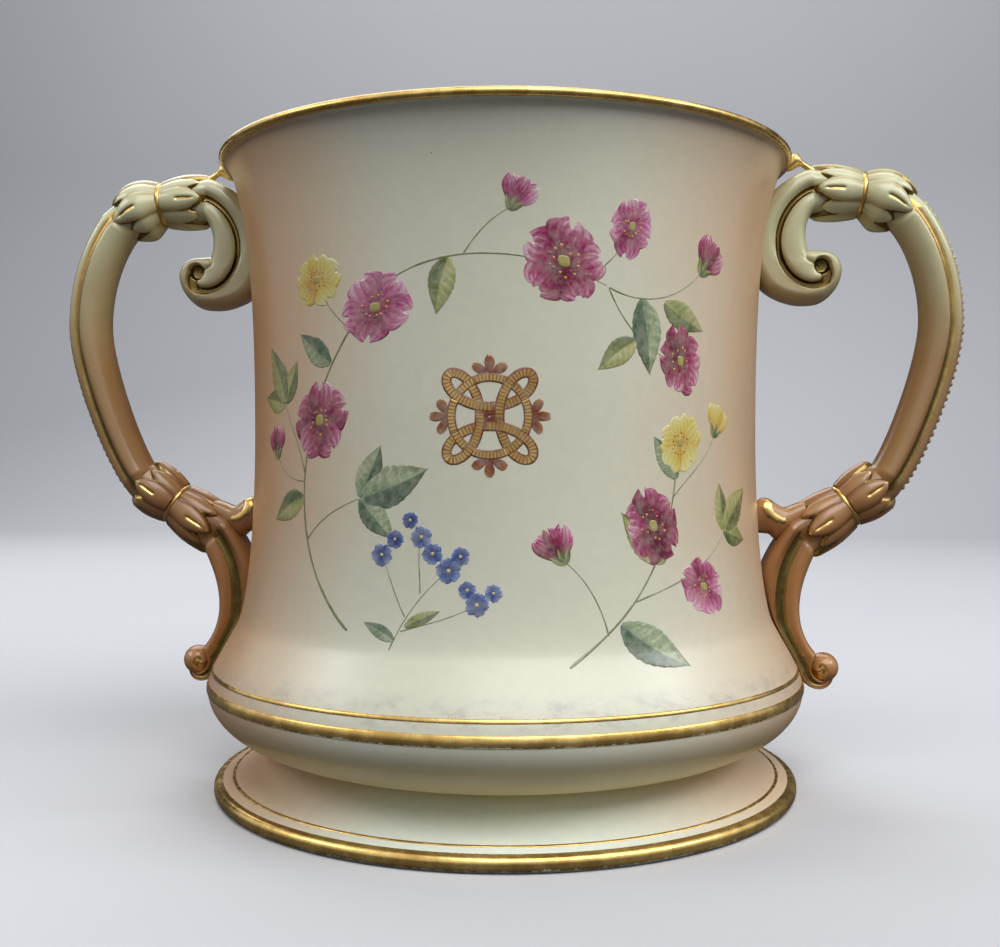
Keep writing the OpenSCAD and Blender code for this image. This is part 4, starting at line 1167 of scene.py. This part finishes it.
leaf(climbing, (-12, 127.1), 250, 12, 6, LEAF, 0.15, 0.1)
leaf(climbing, (30, 119), 285, 16, 7.6, LEAF_COOL, -0.15)
leaf(climbing, (36, 118.5), 330, 13, 6.4, LEAF, 0.12)
blossom(climbing, (-45, 93), 9.2, ROSE, 20, 0.86, 60)
blossom(climbing, (-29, 117), 8.8, ROSE_PALE, 50, 0.8, 20)
blossom(climbing, (-45, 124), 6.8, PRIMROSE, 10, 0.85, 10, heart=(198, 104, 30))
blossom(climbing, (12, 126), 9.4, ROSE, 5, 0.84, 140)
blossom(climbing, (27, 134), 6.4, ROSE_PALE, 40, 0.8, 80)
bud(climbing, (47, 126), 52, 8.4, ROSE)
bud(climbing, (1, 137), 62, 6.6, ROSE_PALE)
bud(climbing, (-62, 85), 100, 7.0, ROSE)
leaf(climbing, (29, 110), 210, 11, 5.6, LEAF, 0.12, 0.1)
blossom(climbing, (41, 106), 7.6, ROSE, 28, 0.82, 100)
climbing.finish("climbing_spray")

low_spray = Painting()
stem(low_spray, [(12, 41), (26, 50), (38, 62), (40, 84)], 0.65, 0.6)
stem(low_spray, [(27.4, 53.8), (38, 57), (50, 60), (56, 68)], 0.45)
stem(low_spray, [(38.7, 76), (45, 82), (50, 84), (53, 90)], 0.4)
stem(low_spray, [(21, 47), (20, 54), (16, 60), (12, 63)], 0.4)
leaf_trio(low_spray, (56, 68), 40, 15, LEAF)
leaf(low_spray, (24, 49.5), 320, 17, 8.4, LEAF_COOL, 0.15)
leaf(low_spray, (36, 62), 140, 15, 7.4, LEAF, -0.12)
leaf(low_spray, (40, 80), 120, 11, 5.6, LEAF_COOL, 0.1)
blossom(low_spray, (33, 70), 8.6, ROSE, 35, 0.84, 110)
blossom(low_spray, (47, 56), 7.4, ROSE_PALE, 12, 0.8, 150)
blossom(low_spray, (41, 88), 6.8, PRIMROSE, 22, 0.88, 60, heart=(198, 104, 30))
bud(low_spray, (53, 90), 66, 7.0, PRIMROSE)
bud(low_spray, (12, 63), 118, 7.6, ROSE)
low_spray.finish("low_spray")

blue_sprigs = Painting()
for knots in ([(-24, 44), (-22, 50), (-18, 56), (-12, 61)], [(-21, 51), (-24, 56), (-25, 60), (-27, 64)],
              [(-18, 56), (-18, 60), (-19, 64), (-18, 68)], [(-22, 48), (-16, 50), (-11, 51), (-6, 54)]):
    stem(blue_sprigs, knots, 0.32)
for x, y, r in ((-12, 61, 2.7), (-15.5, 64.5, 2.3), (-9.5, 64, 2.0), (-27, 64, 2.5), (-24, 67.4, 2.0),
                (-18, 68, 2.4), (-20.6, 71.5, 1.8), (-6, 54, 2.5), (-2.6, 56.4, 1.9), (-8, 57, 1.9)):
    blue_flower(blue_sprigs, (x, y), r, rng.uniform(0, 72), rng.uniform(-0.1, 0.15))
leaf(blue_sprigs, (-23, 46), 150, 8, 3.0, LEAF_COOL, 0.1)
leaf(blue_sprigs, (-21, 49), 30, 8, 2.8, LEAF, -0.1)
blue_sprigs.finish("blue_sprigs")

# Central ornament: an interlaced knot in the middle of the front, drawn through a pattern in red-brown
# enamel and filled with hatched gold, so that only its edges stay red.
KNOT = (-3.5, 93.5)
KNOT_R = 12.4
RED = (112, 42, 22)
BRONZE = [RED, (128, 62, 28), (158, 100, 46), (178, 130, 62)]
LOBE = 0.72
ornament = Painting()


def ribbon(path, width, lift):
    out = left_of(headings(path))
    v = np.linspace(-1, 1, 15)
    line = path[:, None, :] + (width / 2 * v)[None, :, None] * out[:, None, :]
    run = np.concatenate([[0], np.cumsum(np.linalg.norm(np.diff(path, axis=0), axis=1))])
    hatch = smooth(np.sin(run * 2 * math.pi / 0.75), -0.5, 0.1)[:, None]
    gold = smooth(np.abs(v), 0.74, 0.6)[None] * mix(0.25, 0.9, hatch)
    ornament.stroke(KNOT[0] + line[..., 0], KNOT[1] + line[..., 1], pigment(RED), 1.0, gold, lift=lift)


def woven(path, spans, width, lift):
    long = np.vstack([path[:-1]] * 3)
    n = len(path) - 1
    for i in range(spans):
        a, b = n + i * n // spans, n + (i + 1) * n // spans
        ribbon(long[a - 4:b + 5], width, lift + 0.05 * (i % 2))


t = np.linspace(0, 2 * math.pi, 721)
tilt = math.pi / 4
lobes = KNOT_R / (1 + LOBE) * (circle(t + tilt) + LOBE * circle(tilt - 3 * t))
woven(lobes, 8, 2.3, 0.0)
woven(KNOT_R * 0.66 * circle(t + 0.39), 8, 2.0, 0.02)
for i in range(4):
    for swing in (-58, 58, 0):
        root = np.array(KNOT) + KNOT_R * 0.7 * way(90 * i)
        petal(ornament, root, 90 * i + swing, 4.2, 2.2, BRONZE, notch=0.0)
for i in range(8):
    petal(ornament, KNOT, 22.5 + 45 * i, 3.0, 1.7, BRONZE, notch=0.0)
ornament.finish("centre_ornament")

# Gilt rim, lines and bands: liquid gold laid on the turning cup with a brush, then fired and
# burnished. The lower bands are rubbed and chipped where hands and shelves have touched them.


def film_on(surface, crown, depth=0.25):
    d = headings(surface)
    out = np.stack([d[:, 1], -d[:, 0]], 1)
    crown = crown * np.sqrt(np.clip(1 - np.linspace(-0.99, 0.99, len(surface)) ** 2, 0, 1))[:, None]
    return np.vstack([surface + out * crown, (surface - out * depth)[::-1], (surface + out * crown)[:1]])


def wall_between(z0, z1, steps=14):
    z = np.linspace(z0, z1, steps)
    return np.stack([wall_r(z), z], 1)


def gilt_band(name, stands_for, surface, crown, wear_low, wear_high):
    made = turned(name, film_on(surface, crown), fired_gold, [stands_for], 320, 60)
    spots = spots_of(made.data)
    flat = np.stack([np.hypot(spots[:, 0], spots[:, 1]), spots[:, 2]], 1)
    at = np.argmin(((flat[:, None, :] - surface[None]) ** 2).sum(2), 1) / (len(surface) - 1)
    put_mark(made.data, "wear", wear_low * smooth(at, 0.4, 0.0) + wear_high * smooth(at, 0.7, 1.0))


gilt_band("belly_gold_band", "belly_gilt_band", wall_between(26.15, 28.75, 24), 0.34, 0.75, 0.2)
gilt_band("belly_gold_line", "belly_gilt_line", wall_between(30.95, 31.85, 10), 0.2, 0.05, 0.05)
line_r = np.linspace(70.4, 69.6, 8)
foot_line = np.stack([line_r, np.interp(line_r, foot_slope[::-1, 0], foot_slope[::-1, 1])], 1)
gilt_band("foot_gold_line", "foot_gilt_line", foot_line, 0.18, -0.1, -0.1)
foot_edge = np.vstack([arc((FOOT_R - FOOT_ROUND, FOOT_ROUND), FOOT_ROUND, -40, 0, 6),
                       arc((FOOT_R - FOOT_ROUND, FOOT_EDGE - FOOT_ROUND), FOOT_ROUND, 0, 90, 14),
                       foot_slope[1:2]])
gilt_band("foot_gold_band", "foot_gilt_band", foot_edge, 0.15, 0.75, 0.3)
gilt_band("rim_gold", "rim_gilding", arc(LIP, LIP_R, -118, 165, 30), 0.16, 0.2, 0.35)

# Studio: pale paper that curves up from the floor into a backdrop, one broad overhead lamp, three soft
# fills, a lamp on the backdrop, and a camera at the height of the middle of the cup.
PAPER = (206, 208, 213)
PAPER_DULL = (199, 201, 207)
SHADED_PAPER = (54, 54, 58)
pale_paper, tree, place = new_material("pale_paper")
tooth = noise(place, 700.0, 2.0)
sheet = ease(noise(place, 3.0, 2.0), 0.3, 0.7, 0.0, 0.25)
sheet = blend(sheet, linear(PAPER), linear(PAPER_DULL))
seen = node(tree, "ShaderNodeLightPath").outputs["Is Camera Ray"]
sheet = blend(seen, linear(SHADED_PAPER), sheet)
principled(sheet, 0.8, bumped(tooth, 0.05, 0.0005))
sweep = np.vstack([[(-1.6, 0.0)], arc((0.9, 0.5), 0.5, -90, 0, 16), [(1.4, 2.2)]])
paper_points = np.array([(x, y, z) for y, z in sweep for x in (-2.5, 2.5)]) / MM
paper_faces = [(2 * i, 2 * i + 1, 2 * i + 3, 2 * i + 2) for i in range(len(sweep) - 1)]
floor = new_object("paper_sweep", paper_points, faces=paper_faces)
floor.data.shade_smooth()
floor.data.materials.append(pale_paper)


def lamp(name, place, aim, size, power):
    light = bpy.data.lights.new(name, "AREA")
    light.shape = "RECTANGLE"
    light.size, light.size_y = size
    light.energy = power
    made = bpy.data.objects.new(name, light)
    made.location = place
    made.rotation_euler = (Vector(aim) - Vector(place)).to_track_quat("-Z", "Y").to_euler()
    bpy.context.scene.collection.objects.link(made)


lamp("overhead_softbox", (0.3, -0.62, 0.98), (0, 0, 0.06), (1.1, 0.8), 10.4)
lamp("right_fill", (0.75, -0.2, 0.58), (0, 0, 0.03), (0.4, 0.3), 2.2)
lamp("left_fill", (-0.75, -0.2, 0.58), (0, 0, 0.03), (0.4, 0.3), 1.75)
lamp("back_fill", (-0.35, 0.75, 0.8), (0, 0, 0.08), (0.9, 0.6), 4.5)
lamp("backdrop_light", (0.0, 0.55, 1.3), (0, 1.3, 0.5), (1.4, 0.4), 7.0)
world = bpy.data.worlds.new("studio")
world.use_nodes = True
tree = world.node_tree
tree.nodes.clear()
up = split(node(tree, "ShaderNodeTexCoord").outputs["Generated"])[2]
rays = node(tree, "ShaderNodeLightPath").outputs
glossy = rays["Is Glossy Ray"]
mirrored_sky = ease(up, -0.3, 0.6, 0.18, 1.2)
level = plus(times(glossy, mirrored_sky), times(minus(1.0, glossy), 0.15))
level = plus(level, times(rays["Is Camera Ray"], 0.4))
back = node(tree, "ShaderNodeBackground", {"Color": (0.93, 0.95, 1.0, 1.0), "Strength": level})
node(tree, "ShaderNodeOutputWorld", {"Surface": back.outputs[0]})
bpy.context.scene.world = world

lens = bpy.data.cameras.new("camera")
lens.lens = 43.5
lens.sensor_width = 36.0
camera = bpy.data.objects.new("camera", lens)
camera.location = (0.0220, -0.3176, 0.0863)
camera.rotation_euler = (math.radians(90 - 1.09), 0, math.radians(FRONT))
bpy.context.scene.collection.objects.link(camera)
bpy.context.scene.camera = camera
bpy.context.scene.view_settings.view_transform = "Standard"
